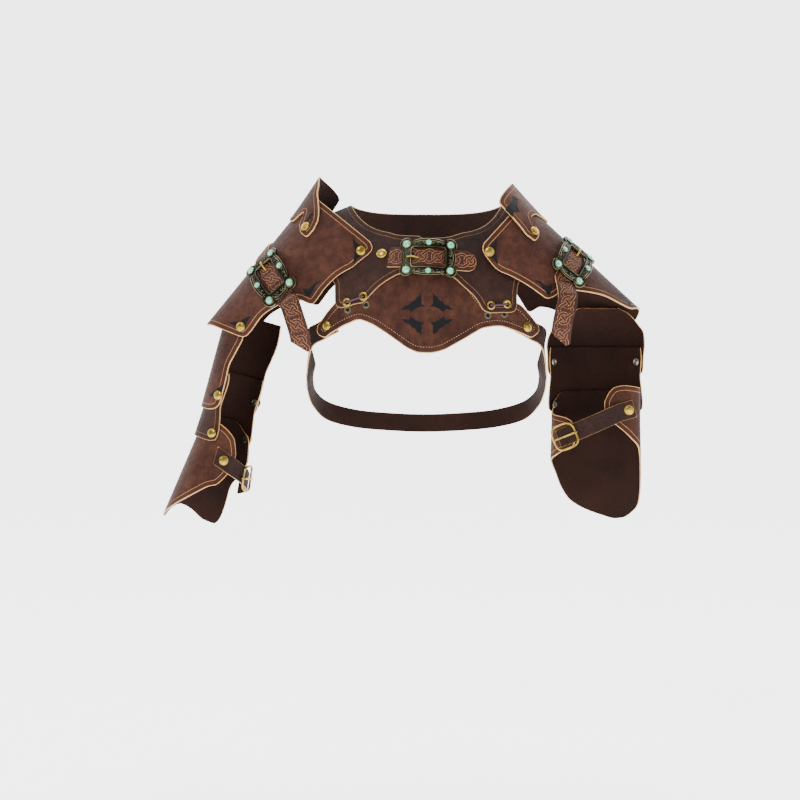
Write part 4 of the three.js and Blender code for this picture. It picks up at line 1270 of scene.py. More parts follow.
def interlace(s: Points, w: Points, half: float) -> Points:
    """Height of two woven strands with a ring round each crossing.

    Args:
        s: Length along the strap.
        w: Place across the strap.
        half: Half of the strap's width.

    Returns:
        Height from 0 to 1.
    """
    pitch, sway, wide, thin, ring = 41.0, half - 4.2, 1.6, 0.36, 6.2
    phase = 2 * pi * s / pitch
    top, high = np.full(s.shape, -9.0), np.zeros(s.shape)

    def lay(far: Points, over: Points) -> None:
        mine = (far < wide + 0.8) & (over > top)
        top[mine] = over[mine]
        high[mine] = np.exp(-(((far - wide) / thin) ** 2))[mine]

    for sign in (1, -1):
        lean = 1 / np.sqrt(1 + (sway * 2 * pi / pitch * np.cos(phase)) ** 2)
        lay(np.abs(w - sign * sway * np.sin(phase)) * lean, sign * np.cos(phase))
    x = ((s / pitch * 2 + 0.5) % 1.0 - 0.5) * pitch / 2
    lay(np.abs(np.hypot(x, w) - ring), 1.6 * np.sin(2 * np.arctan2(w, x)))
    return high


STRAP = dict(thick=STRAP_WALL, work=Edge.PLAIN, slot="strap_leather")
TOOLED = dict(**STRAP, knot=True, drop=0.5)


def to_front(_: Points) -> Points:
    """The way to the front, for a strap that lies there."""
    return np.array([0.0, -1.0, 0.0])


def plain_base(_: Points) -> Points | float:
    """A panel that lies on its carrier."""
    return 0.0


@dataclass
class Panel:
    """One leather piece cut to a shape and laid on a carrier."""

    name: str
    node: str
    carrier: Carrier
    columns: Points
    low: Callable[[Points], Points]
    high: Callable[[Points], Points]
    scale: float = 1.0
    swap: bool = False
    base: Callable[[Points], Points] = plain_base
    thick: float = LEATHER
    work: Edge = Edge.GROOVED
    step: float = 3.2
    inlays: tuple[Inlay, ...] = ()
    holes: tuple[tuple[float, float, float], ...] = ()
    knot: bool = False
    drop: float = 0.7
    slot: str = "leather"
    held: str = "draped"
    rests_on: tuple[str, ...] = ()
    flat: Optional[Flat] = field(default=None, repr=False)
    size: tuple[float, float, float] = (0.0, 0.0, 0.0)

    @classmethod
    def cut(
        cls, name: str, node: str, carrier: Carrier, table: Table, low: str, high: str, **more: object
    ) -> "Panel":
        """Makes a panel from a cut table.

        Args:
            name: Piece name.
            node: Node that it stands for.
            carrier: Surface it lies on.
            table: Its cut.
            low: Column of the lower end, with a minus sign to turn it over.
            high: Column of the upper end.
            more: Other fields.

        Returns:
            The panel.
        """

        def reader(column: str) -> Callable[[Points], Points]:
            sign = -1.0 if column.startswith("-") else 1.0
            return lambda x: sign * table.eased(column.lstrip("-"), x)

        return cls(name, node, carrier, table.along, reader(low), reader(high), **more)

    def spread(self) -> Points:
        """Returns evenly worked columns."""
        x = np.concatenate([
            np.linspace(a, b, 40, endpoint=False) for a, b in zip(self.columns, self.columns[1:])
        ] + [self.columns[-1:]])
        run = np.maximum.reduce([
            np.diff(x) * self.scale, np.abs(np.diff(self.low(x))) * 0.8, np.abs(np.diff(self.high(x))) * 0.8
        ])
        total = np.concatenate([[0], np.cumsum(run)])
        return np.interp(np.linspace(0, total[-1], int(total[-1] / self.step) + 2), total, x)

    def lay(self) -> None:
        """Cuts the flat mesh, with its border, inlays and holes worked in."""
        at = self.spread()
        low, high = self.low(at), self.high(at)
        flat = Flat.between(at, low, high, self.step, self.swap)
        grid = self.middle(flat.uv).reshape(len(at), -1, 3)
        tall = norm(np.diff(grid, axis=1), axis=2).sum(1).max()
        wide = norm(np.diff(grid, axis=0), axis=2).sum(0).max()
        rim = flat.rim()
        p = self.middle(flat.uv)
        starts, ends = p[rim[:, 0]], p[rim[:, 1]]
        for length in (1.9, 1.0) if self.inlays or self.holes else ():
            p = self.middle(flat.uv)
            near = np.zeros(len(p), bool)
            if self.inlays:
                near |= np.abs(self.ink(p)) < 2.6
            for u, v, r in self.holes:
                near |= norm(p - self.middle(np.array([[u, v]])), axis=1) < r + 3

            def share(keys: Points) -> Points:
                long = norm(p[keys[:, 0]] - p[keys[:, 1]], axis=1) > length
                return np.where(long & (near[keys[:, 0]] | near[keys[:, 1]]), 0.5, np.nan)

            flat.split(share)
        p = self.middle(flat.uv)
        flat.fields["edge"] = to_segments(p, starts, ends)
        if self.inlays:
            flat.fields["ink"] = self.ink(p)
        for k, (u, v, r) in enumerate(self.holes):
            flat.fields[f"hole{k}"] = norm(p - self.middle(np.array([[u, v]])), axis=1) - r
        for level in (SKIVE, *GROOVE) if self.work is Edge.GROOVED else (SKIVE,):
            flat.slice("edge", level)
        if self.inlays:
            flat.slice("ink", 0.0)
        for k in range(len(self.holes)):
            flat.slice(f"hole{k}", 0.0)
            flat.drop(flat.fields[f"hole{k}"][flat.triangles].mean(1) < 0)
        self.flat = flat
        a, b, c = (self.middle(flat.uv)[flat.triangles[:, k]] for k in range(3))
        area = 0.5 * norm(np.cross(b - a, c - a), axis=1).sum()
        self.size = (float(tall), float(wide), float(area))

    def bases(self, uv: Points) -> Points:
        """Returns how high the panel's underside lies."""
        return np.broadcast_to(np.asarray(self.base(uv[:, 1 if self.swap else 0]), float), (len(uv),))

    def middle(self, uv: Points) -> Points:
        """Returns points in the middle of the wall."""
        return self.carrier.lifted(uv[:, 0], uv[:, 1], self.bases(uv) + self.thick / 2)[0]

    def ink(self, points: Points) -> Points:
        """Returns how deep points lie in any inlay."""
        return np.max([i.depth(self.carrier, points) for i in self.inlays], axis=0)

    def relief(self) -> Points:
        """Returns the worked height of the grain side."""
        edge = self.flat.fields["edge"]
        if self.work is Edge.GROOVED:
            high = np.interp(edge, [0, SKIVE, *GROOVE], [-self.drop, 0, 0, -0.5, 0])
        else:
            high = np.interp(edge, [0, SKIVE], [-self.drop, 0])
        if self.inlays:
            high = high - 0.35 * smooth(self.flat.fields["ink"] / 0.7)
        return high

    def dress(self, finishes: Finishes) -> Piece:
        """Makes the panel.

        Args:
            finishes: The finishes to use.

        Returns:
            The finished piece.
        """
        self.lay()
        uv, tri = self.flat.uv, self.flat.triangles
        base = self.bases(uv)
        knot = interlace(uv[:, 0], uv[:, 1], STRAP_WIDTH / 2 - 1) if self.knot else 0.0
        top, normal = self.carrier.lifted(
            uv[:, 0], uv[:, 1], base + self.thick + self.relief() + (0.5 * knot - 0.1 if self.knot else 0.0)
        )
        under, _ = self.carrier.lifted(uv[:, 0], uv[:, 1], base)
        a, b, c = (top[tri[:, k]] for k in range(3))
        if (np.cross(b - a, c - a) * normal[tri[:, 0]]).sum() < 0:
            tri = self.flat.triangles = tri[:, ::-1]
        plain = finishes.plain_hide if self.slot == "leather" else finishes.strap_hide
        works = {Edge.GROOVED: finishes.hide, Edge.STITCHED: finishes.stitched_hide, Edge.PLAIN: plain}
        grain = finishes.tooled if self.knot else works[self.work]
        pile = Pile()
        pile.add(top, tri, grain, edge=self.flat.fields["edge"], ink=self.flat.fields.get("ink", NO_INK), tool=knot)
        shift = pile.add(under, tri[:, ::-1], finishes.lining)
        r = self.flat.rim()
        pile.extend(
            np.concatenate([
                np.stack([r[:, 1], r[:, 0], r[:, 0] + shift], 1),
                np.stack([r[:, 1], r[:, 0] + shift, r[:, 1] + shift], 1)
            ]),
            finishes.raw
        )
        piece = finished(pile.make(self.name), self.slot, self.node)
        LOG.info("%s: cut %.0f x %.0f mm, %.0f cm2", self.name, self.size[0], self.size[1], self.size[2] / 100)
        return piece

    def line(self, level: float) -> list[Points]:
        """Returns (u, v) lines at one distance from the border.

        Args:
            level: Millimetres from the border.

        Returns:
            One array of points a line.
        """
        f, tri = self.flat.fields["edge"] - level, self.flat.triangles
        f = np.where(np.abs(f) < 1e-6, 1e-6, f)
        links: dict[tuple, list] = {}
        place: dict[tuple, Points] = {}
        for t in tri[(np.sign(f[tri]).min(1) < 0) & (np.sign(f[tri]).max(1) > 0)]:
            cut = []
            for i, j in ((t[0], t[1]), (t[1], t[2]), (t[2], t[0])):
                if f[i] * f[j] < 0:
                    key = (min(i, j), max(i, j))
                    s = f[i] / (f[i] - f[j])
                    place[key] = self.flat.uv[i] * (1 - s) + self.flat.uv[j] * s
                    cut.append(key)
            links.setdefault(cut[0], []).append(cut[1])
            links.setdefault(cut[1], []).append(cut[0])
        lines, left = [], set(links)
        while left:
            here = left.pop()
            chain = [here]
            while True:
                ahead = [q for q in links[chain[-1]] if q in left]
                if not ahead:
                    break
                left.discard(ahead[0])
                chain.append(ahead[0])
            if chain[0] in links[chain[-1]]:
                chain.append(chain[0])
            if len(chain) > 8:
                lines.append(np.array([place[q] for q in chain]))
        return lines


# ---- fittings
class Template:
    """One small part modelled once and then copied into place."""

    def __init__(self, made: Piece) -> None:
        """Leaves edit mode, keeps an object's mesh and removes the object."""
        bpy.ops.object.mode_set(mode="OBJECT")
        mesh = made.data
        mesh.calc_loop_triangles()
        self.points = np.empty(len(mesh.vertices) * 3)
        mesh.vertices.foreach_get("co", self.points)
        self.points = self.points.reshape(-1, 3) / MM
        faces = np.empty(len(mesh.loop_triangles) * 3, np.int32)
        mesh.loop_triangles.foreach_get("vertices", faces)
        self.faces = faces.reshape(-1, 3)
        bpy.data.objects.remove(made, do_unlink=True)

    def into(
        self, pile: Pile, seat: Seat, finish: Material, shift: tuple = (0, 0, 0), size: tuple = (1, 1, 1),
        bend: float = 0.0, high: float = 0.0
    ) -> None:
        """Copies the part into a pile, grown, shifted and bent on its seat."""
        local = self.points * np.array(size, float) + np.array(shift, float)
        # high is the rub share that aged bronze reads: partly worn polish, partly painted highlight.
        pile.add(seat.put(local, bend), self.faces, finish, high=high)


class Fittings(Finishes):
    """The finishes, with the small metal parts that are each modelled once."""

    def __init__(self) -> None:
        """Makes the finishes and models the templates."""
        super().__init__()
        self.head = self.rivet_head()
        self.washer = self.rivet_washer()
        self.shank = self.round_bar(2.2, 1.0)
        self.eyelet = self.eyelet_ring()
        self.bead = self.ball(16, 10)
        self.seed = self.ball(8, 6)
        self.bezel = self.bezel_ring()

    @staticmethod
    def top_faces(made: Piece, above: float) -> None:
        """Selects the faces that lie above a height, in edit mode."""
        bpy.ops.object.mode_set(mode="OBJECT")
        for face in made.data.polygons:
            face.select = face.center.z > above and face.normal.z > 0.9
        bpy.ops.object.mode_set(mode="EDIT")
        bpy.ops.mesh.select_mode(type="FACE")

    def disc(self, radius: float, tall: float, sides: int = 24) -> Piece:
        """Adds a disc and opens it for editing.

        Args:
            radius: Radius in millimetres.
            tall: Height in millimetres.
            sides: Corners round it.

        Returns:
            The disc, in edit mode with nothing selected.
        """
        select_only(None)
        bpy.ops.mesh.primitive_cylinder_add(
            vertices=sides, radius=radius * MM, depth=tall * MM, location=(0, 0, tall / 2 * MM)
        )
        made = bpy.context.active_object
        bpy.ops.object.transform_apply(location=True, rotation=True, scale=True)
        bpy.ops.object.mode_set(mode="EDIT")
        bpy.ops.mesh.select_mode(type="FACE")
        bpy.ops.mesh.select_all(action="DESELECT")
        return made

    def rivet_head(self) -> Template:
        """Models a domed head with a thin lip, 12.6 mm wide and 3.1 mm high."""
        made = self.disc(6.3, 0.7, 28)
        self.top_faces(made, 0.5 * MM)
        bpy.ops.mesh.inset(thickness=0.5 * MM, depth=0)
        foot, crown = 5.8, 1.95
        radii = np.array([foot, 5.7, 5.4, 4.9, 4.2, 3.3, 2.2, 1.1])
        rises = np.diff(crown * np.sqrt(1 - (radii / foot) ** 2))
        for narrow, rise in zip(-np.diff(radii), rises):
            bpy.ops.mesh.inset(thickness=narrow * MM, depth=0)
            bpy.ops.transform.translate(value=(0, 0, rise * MM))
        bpy.ops.mesh.merge(type="CENTER")
        return Template(made)

    def rivet_washer(self) -> Template:
        """Models a dished washer, 10 mm wide and 1.1 mm high."""
        made = self.disc(5.0, 0.6)
        self.top_faces(made, 0.4 * MM)
        for narrow, rise in ((0.8, 0.5), (1.4, 0.0), (0.7, -0.5), (1.0, 0.3)):
            bpy.ops.mesh.inset(thickness=narrow * MM, depth=0)
            bpy.ops.transform.translate(value=(0, 0, rise * MM))
        return Template(made)

    def round_bar(self, radius: float, tall: float) -> Template:
        """Models a round bar standing on the seat."""
        self.disc(radius, tall, 14)
        return Template(bpy.context.active_object)

    def eyelet_ring(self) -> Template:
        """Models a rolled eyelet, 11.2 mm wide with a 5.6 mm hole."""
        select_only(None)
        bpy.ops.mesh.primitive_torus_add(
            major_segments=28, minor_segments=10, major_radius=4.2 * MM, minor_radius=1.4 * MM
        )
        made = bpy.context.active_object
        bpy.ops.object.mode_set(mode="EDIT")
        bpy.ops.mesh.select_all(action="SELECT")
        bpy.ops.transform.resize(value=(1, 1, 0.6))
        bpy.ops.transform.translate(value=(0, 0, 0.75 * MM))
        return Template(made)

    def bezel_ring(self) -> Template:
        """Models a stone's rim of unit radius."""
        select_only(None)
        bpy.ops.mesh.primitive_torus_add(
            major_segments=20, minor_segments=8, major_radius=1.0 * MM, minor_radius=0.18 * MM
        )
        return Template(bpy.context.active_object)

    def ball(self, around: int, up: int) -> Template:
        """Models a ball of unit radius.

        Args:
            around: Segments round it.
            up: Rings up it.

        Returns:
            The ball.
        """
        select_only(None)
        bpy.ops.mesh.primitive_uv_sphere_add(segments=around, ring_count=up, radius=1.0 * MM)
        return Template(bpy.context.active_object)

    def rivet(self, node: str, seat: Seat, back: Optional[float] = None, deep: float = 0.0) -> Piece:
        """Sets one rivet.

        Args:
            node: Node it stands for, as rivet and its place; the piece is named as its place and rivet.
            seat: Seat of the head's underside.
            back: Depth of the washer's face below the head, or none.
            deep: Depth of the shank.

        Returns:
            The finished rivet.
        """
        pile = Pile()
        self.head.into(pile, seat, self.brass, high=1.0)
        into_washer = 0.4
        reach = max(deep, (back or 0.0) + into_washer)
        if reach:
            self.shank.into(pile, seat, self.brass, shift=(0, 0, -reach), size=(1, 1, reach))
        if back is not None:
            turned = Seat(seat.o - seat.en * back, seat.ex, -seat.ey, -seat.en)
            self.washer.into(pile, turned, self.steel)
        word, place, *rest = node.split("_")
        return finished(pile.make("_".join([place, word, *rest]), 50.0), "brass", node)


def super_ring(count: int, half_l: float, half_w: float, power: float) -> Points:
    """Returns a rounded rectangle's points by angle.

    Args:
        count: Points round it.
        half_l: Half of its length.
        half_w: Half of its width.
        power: How square it is.

    Returns:
        Points in two columns.
    """
    a = 2 * pi * (np.arange(count) + 0.5) / count
    c, s = np.cos(a), np.sin(a)
    r = 1 / (np.abs(c / half_l) ** power + np.abs(s / half_w) ** power) ** (1 / power)
    return np.stack([r * c, r * s], 1)


@dataclass(frozen=True)
class StonedBuckle:
    """Cast buckle with round corners, scrolled bars and six stones."""

    seat: Seat
    bend: float  # radius of the surface below
    kit: Fittings
    length: float = 71.0
    width: float = 51.5
    window_length: float = 42.0
    window_width: float = 26.5
    lobe: float = 8.6
    inset: float = 8.4
    stone: float = 4.3
    small_stone: float = 3.4
    count: int = 192

    def put(self, local: Points) -> Points:
        """Places points that are given on the seat."""
        return self.seat.put(local, self.bend)

    def outline(self) -> Points:
        """Returns the outer border: a bulged plate joined to four round corners."""
        ring = super_ring(self.count, self.length / 2 - 1.4, self.width / 2 - 0.8, 2.35)
        r, d = norm(ring, axis=1), unit(ring)
        for sx in (-1, 1):
            for sy in (-1, 1):
                c = np.array([sx * (self.length / 2 - self.inset), sy * (self.width / 2 - self.inset)])
                b = d @ c
                inside = self.lobe**2 - (c @ c - b * b)
                r = np.where((inside > 0) & (b > 0), np.maximum(r, b + np.sqrt(np.maximum(inside, 0))), r)
        return d * r[:, None]

    def plate(self, pile: Pile) -> None:
        """Adds the cast plate with its beads and channel to a pile."""
        outer = self.outline()
        inner = super_ring(self.count, self.window_length / 2, self.window_width / 2, 9.0)
        # share of the way outwards, height and rub of each ring; the rub lightens the bead crests, partly as worn
        # polish and partly as painted highlight
        rows = [
            (0.0, 0.0, 0.0), (0.0, 2.2, 0.3), (0.03, 2.9, 0.85), (0.065, 2.9, 0.85), (0.1, 2.1, 0.1),
            (0.16, 2.0, 0.05), (0.68, 2.1, 0.05), (0.715, 2.9, 0.8), (0.745, 3.1, 0.9), (0.775, 2.9, 0.8),
            (0.81, 2.1, 0.05), (0.9, 2.1, 0.05), (0.93, 2.9, 0.85), (0.955, 3.1, 1.0), (0.985, 2.8, 0.8),
            (1.0, 2.0, 0.4), (1.0, 0.35, 0.0), (0.97, 0.0, 0.0)
        ]
        share, z, high = (np.array(column)[:, None, None] for column in zip(*rows))
        rings = np.concatenate(
            [inner * (1 - share) + outer * share, np.broadcast_to(z, (len(rows), self.count, 1))], 2
        )
        high = np.repeat(high.ravel(), self.count)
        pile.add(self.put(rings.reshape(-1, 3)), strung(rings, closed=True), self.kit.bronze, high=high)

    def scrolls(self, pile: Pile) -> None:
        """Adds paired leaf scrolls along the four bars."""
        t = np.linspace(0, 1, 22)
        for sx, sy, along in (
            (1, 1, 0), (-1, 1, 0), (1, -1, 0), (-1, -1, 0), (1, 1, 1), (1, -1, 1), (-1, 1, 1), (-1, -1, 1)
        ):
            span, mid = self.window_length / 2 - 2, (self.window_width + self.width) / 4 - 1.4
            if along:
                span, mid = self.window_width / 2 - 1, (self.window_length + self.length) / 4 - 1.6
            for start, size in ((0.30, 2.2), (0.62, 2.6), (0.93, 2.2)):
                a = 0.4 + 4.6 * t
                r = size * (1 - 0.62 * t)
                x, y = start * span + r * np.cos(a), r * np.sin(a) * 0.9
                p = np.column_stack([mid + y, x] if along else [x, mid + y]) * np.array([sx, sy])
                path = self.put(np.column_stack([p, np.full(len(t), 2.5)]))
                # The scrolls get a rub of 0.75: partly worn polish, partly painted highlight.
                pile.add(*tubed(path, 0.46 * (1.15 - 0.5 * t), 6), self.kit.bronze, high=0.75)

    def stones(self, pile: Pile) -> None:
        """Sets a stone in each corner and one on each long bar."""
        corner = (self.length / 2 - self.inset, self.width / 2 - self.inset)
        places = [(sx * corner[0], sy * corner[1], self.stone, 2.6) for sx in (-1, 1) for sy in (-1, 1)]
        places += [(0.0, sy * (self.width / 2 - 6.6), self.small_stone, 2.4) for sy in (-1, 1)]
        for x, y, r, z in places:
            local = self.put(np.array([[x, y, z], [x + 1, y, z], [x, y, z + 1]]))
            own = Seat.facing(local[0], local[1] - local[0], unit(local[2] - local[0]))
            wide, kit = (r + 1.0) / 2.2, self.kit
            # The bezels get a full rub and the seats a little: partly worn polish, partly painted highlight.
            kit.shank.into(pile, own, kit.bronze, shift=(0, 0, -2.0), size=(wide, wide, 2.4), high=0.2)
            kit.bezel.into(pile, own, kit.bronze, shift=(0, 0, 0.55), size=(r + 0.35, r + 0.35, 3.2), high=1.0)
            kit.bead.into(pile, own, kit.stone, shift=(0, 0, 0.45), size=(r, r, r * 0.62))

    def dress(self, buckle: str, prong: str) -> None:
        """Makes the buckle and its prong.

        Args:
            buckle: Node of the frame.
            prong: Node of the prong.
        """
        pile = Pile()
        self.plate(pile)
        self.scrolls(pile)
        self.stones(pile)
        finished(pile.make(f"{buckle}_casting", 34.0), "bronze", buckle)
        x = np.array([-25.5, -24.0, -22.4, -20.6, -18.4, -16.2, -14.0, -12.4])
        z = np.array([1.6, 3.4, 4.2, 4.2, 3.2, 1.8, -0.2, -2.0])
        path = self.put(np.column_stack([x, 0 * x, z]))
        pin = Pile()
        pin.add(*tubed(along_line(path, np.linspace(0, 16.4, 26)), np.linspace(1.5, 1.15, 26), 12), self.kit.brass)
        turn = np.linspace(0, 2 * pi, 22, endpoint=False)
        loop = np.column_stack([-24.6 + 2.0 * np.cos(turn), 0 * turn, 1.9 + 1.9 * np.sin(turn)])
        pin.add(*tubed(self.put(loop), 1.2, 10, closed=True), self.kit.brass)
        finished(pin.make(f"{prong}_pin", 50.0), "brass", prong)


@dataclass(frozen=True)
class RoundedBuckle:
    """Plain rounded frame with its tongue, for a cuff strap."""

    length: float = 33.0
    width: float = 35.0
    wire: float = 3.0

    def dress(self, name: str, node: str, seat: Seat, bend: float, brass: Material) -> Piece:
        """Makes the buckle.

        Args:
            name: Piece name.
            node: Node it stands for.
            seat: The buckle's seat.
            bend: Radius of the surface below.
            brass: Material of the frame and tongue.

        Returns:
            The finished buckle.
        """
        pile = Pile()
        half_wire, count = self.wire / 2, 96
        ring = super_ring(count, self.length / 2 - half_wire, self.width / 2 - half_wire, 3.4)
        path = seat.put(np.column_stack([ring, np.full(count, 1.6)]), bend)
        pile.add(*tubed(path, half_wire, 12, closed=True), brass)
        bar = half_wire - self.length / 2
        x = np.linspace(bar, self.length / 2 - 2.4, 22)
        z = 3.9 + 0.5 * np.sin(np.linspace(0, pi, 22))
        pile.add(*tubed(seat.put(np.column_stack([x, 0 * x, z]), bend), np.linspace(1.45, 1.05, 22), 12), brass)
        turn = np.linspace(0, 2 * pi, 24, endpoint=False)
        loop = np.column_stack([bar + 2.5 * np.cos(turn), 0 * turn, 1.7 + 2.5 * np.sin(turn)])
        pile.add(*tubed(seat.put(loop, bend), 1.0, 10, closed=True), brass)
        return finished(pile.make(name, 50.0), "brass", node)


# ---- assemblies
def depth_through(seat: Seat, piece: Piece, far: bool, limit: float = 26.0) -> Optional[float]:
    """Measures inwards from a seat to another piece.

    Args:
        seat: Where to start.
        piece: The piece below.
        far: True for its far side, False for its near side.
        limit: Longest depth.

    Returns:
        The depth, or None when the piece isn't met.
    """
    depth, found = 2.4, None
    while depth < limit:
        start = seat.o - seat.en * depth
        hit, where, _, _ = piece.ray_cast(Vector(start * MM), Vector(-seat.en), distance=(limit - depth) * MM)
        if not hit:
            break
        depth += float(norm(np.array(where) / MM - start)) + 0.15
        found = depth
        if not far:
            break
    return found


@dataclass
class CollarSet:
    """The yoke round the neck, the chest plate laced to it and the band below."""

    kit: Fittings
    eyelets: tuple = ((-44.6, 107), (-36.0, 92.5), (35.4, 103.5), (44.3, 109))
    chest_eyelets: tuple = ((-44.2, 115.6), (-34.4, 101.6), (33.7, 114.4), (42.7, 119.4))
    crossing: tuple = (0.0, 106.6)
    band_width: float = 24.0
    stitch: float = 3.4
    yoke: Optional[Piece] = None

    def yoke_base(self, turn: Points) -> Points:
        """Returns how high the yoke lies where its ends lap."""
        return YOKE_LAP.eased("base", turn)

    def build(self) -> None:
        """Builds the collar's pieces in order."""
        self.build_yoke()
        self.build_chest()
        self.build_rings()
        self.build_laces()
        self.build_band()
        self.build_front()

    def build_yoke(self) -> None:
        """Cuts the yoke with a rivet hole for each eyelet."""
        holes = tuple((t + 360 if t < 0 else t, r, 2.8) for t, r in self.eyelets)
        panel = Panel.cut(
            "yoke_hide", "yoke", COLLAR, YOKE_CUT, "inner", "reach", scale=3.0, base=self.yoke_base, holes=holes,
            rests_on=("chest_hide",)
        )
        self.yoke = panel.dress(self.kit)

    def build_chest(self) -> None:
        """Cuts the chest plate and sews its border."""
        wings = (wing() * np.array([1.1, 1.05]),)
        u, v = self.crossing
        inlays = tuple(Inlay(u, v, wings, (sx, sy)) for sx in (1, -1) for sy in (1, -1))
        # Black discs inside the chest eyelet rings stand for their dark holes: painted shade, because the hide is not
        # cut there.
        hole_shade_disc = np.array([(2.3 * cos(a), 2.3 * sin(a)) for a in np.linspace(0, 2 * pi, 16, endpoint=False)])
        inlays += tuple(Inlay(t, r, (hole_shade_disc,)) for t, r in self.chest_eyelets)
        panel = Panel.cut(
            "chest_hide", "chest_plate", COLLAR, CHEST_CUT, "top", "foot", scale=3.4, base=lambda _: -LAYER,
            work=Edge.STITCHED, inlays=inlays, rests_on=("band_hide",)
        )
        panel.dress(self.kit)
        pile = Pile()
        for line in panel.line(7.4):
            p, n = COLLAR.lifted(line[:, 0], line[:, 1], -SEAM - 0.05)
            length = norm(np.diff(p, axis=0), axis=1).sum()
            spots = np.arange(self.stitch / 2, length, self.stitch)
            both = along_line(np.column_stack([p, n]), np.stack([spots, spots + 0.3], 1).ravel()).reshape(-1, 2, 6)
            for here, ahead in both:
                seat = Seat.facing(here[:3], ahead[:3] - here[:3] + 1e-6, unit(here[3:]))
                self.kit.seed.into(pile, seat, self.kit.thread, size=(1.05, 0.36, 0.4))
        finished(pile.make("chest_stitches"), "leather")

    def build_rings(self) -> None:
        """Sets an eyelet in each lobe and in the plate below it."""
        for k, (top, low) in enumerate(zip(self.eyelets, self.chest_eyelets), 1):
            pile = Pile()
            self.kit.eyelet.into(pile, COLLAR.seat(*top, LAYER), self.kit.brass)
            # The plate's eyelet gets a rub of 0.8: partly worn polish, partly painted highlight.
            self.kit.eyelet.into(pile, COLLAR.seat(*low, -SEAM), self.kit.bronze, size=(0.84, 0.84, 0.5), high=0.8)
            finished(pile.make(f"eyelet_ring_{k}", 60.0), "brass", f"eyelet_{k}")

    def build_laces(self) -> None:
        """Ties one lace between the eyelets of each lobe."""
        for word, a, b in (("left", 0, 1), ("right", 2, 3)):
            (ta, ra), (tb, rb) = self.eyelets[a], self.eyelets[b]
            rows = [
                (0.0, -0.2), (0.0, 3.3), (0.14, 5.2), (0.34, 4.3), (0.5, 4.8), (0.66, 4.2), (0.86, 5.2), (1.0, 3.3),
                (1.0, -0.2)
            ]
            knots = np.array([COLLAR.lifted(ta + (tb - ta) * t, ra + (rb - ra) * t, off)[0] for t, off in rows])
            wide = np.tile([0.2, 0.3, 0.9], (len(knots), 1))
            ribbon = Ribbon.through(np.column_stack([knots, wide]), to_front, 90)
            line, run, pile = ribbon.frames[:, :3], ribbon.length, Pile()
            pile.add(*tubed(line, 1.4, 12), self.kit.lace)
            lace = finished(pile.make(f"lace_cord_{word}"), "lace", f"lace_{word}")
            LOG.info("lace_%s: %.1f mm long", word, run)

    def build_band(self) -> None:
        """Runs the plain band from the plate's ends round the back."""
        spots = [COLLAR.lifted(*row, -2 * LAYER - 0.45) for row in BAND_ROOT.rows]
        rows = []
        for i, (p, n) in enumerate(spots):
            near = spots[i + 1][0] if i < 2 else spots[i - 1][0]
            w = unit(np.cross(n, (near - p) * (1 if i < 2 else -1)))
            rows.append([*p, *(w if w[2] > 0 else -w)])
        rows = np.array(rows + [list(r) for r in BAND_PATH.rows])
        other = rows[:-1][::-1] * np.array([-1, 1, 1, -1, 1, 1])
        ribbon = Ribbon.through(np.vstack([rows, other]), lambda c: c * np.array([1.0, 1.0, 0.0]), 360)
        half = self.band_width / 2
        Panel(
            "band_hide", "underarm_band", ribbon, np.array([0.0, ribbon.length]), lambda x: 0 * x - half,
            lambda x: 0 * x + half, work=Edge.PLAIN, rests_on=("chest_hide",)
        ).dress(self.kit)

    def build_front(self) -> None:
        """Lays the short strap and the stoned buckle across the throat."""
        x = STRAP_ROWS.along
        turn = np.linspace(x[0], x[-1], 160)
        run = (STRAP_ROWS.eased("top", turn) + STRAP_ROWS.eased("foot", turn)) / 2
        mid = np.polyval(np.polyfit(turn, run, 4), turn)
        base = self.yoke_base(np.where(turn < 4, turn + 360, 364)) * (1 - smooth((turn - 5) / 10)) + LAYER
        c, n = COLLAR.lifted(turn, mid, base)
        w = COLLAR.lifted(turn, mid + 1, base)[0] - c
        along = unit(np.gradient(c, axis=0))
        w = unit(w - along * (w * along).sum(1, keepdims=True))
        ribbon = Ribbon(c, w, unit(np.cross(w, along)) * np.sign((np.cross(w, along) * n).sum(1, keepdims=True)))
        half, end = STRAP_WIDTH / 2, ribbon.length

        def reach(x: Points) -> Points:
            run = 13.0  # length of the rounded end
            round_end = np.sqrt(np.clip(1 - ((x - end + run) / (run + 0.4)) ** 2, 0.0, 1))
            return half * np.where(x > end - run, round_end, 1.0)

        Panel(
            "front_strap_hide", "centre_strap", ribbon, np.array([0.0, end]), lambda x: -reach(x), reach, step=0.75,
            **TOOLED, rests_on=("yoke_hide",)
        ).dress(self.kit)
        p, normal = COLLAR.lifted(0.7, 37.0, LAYER * 2 + STRAP_WALL + 2.2)
        seat = Seat.facing(p, np.array([1.0, 0.0, -0.03]), normal)
        StonedBuckle(seat, 110.0, self.kit).dress("centre_buckle", "centre_prong")
        self.kit.rivet("rivet_yoke", COLLAR.seat(-29.7, 33.5, 3.5 + SEAM), back=4.3)
        for word, t, r in (("left", -54.4, 148.0), ("right", 54.4, 150.0)):
            self.kit.rivet(f"rivet_chest_{word}", COLLAR.seat(t, r, 0.0), back=5.1)


@dataclass(frozen=True)
class ArmShape:
    """What differs between the two arms."""

    upper: ArmTube
    middle: ArmTube
    cuff: ArmTube
    upper_cut: Table
    middle_cut: Table
    cuff_cut: Table
    far: str
    upper_pin: float
    middle_pin: float
    emblem: tuple[float, float]


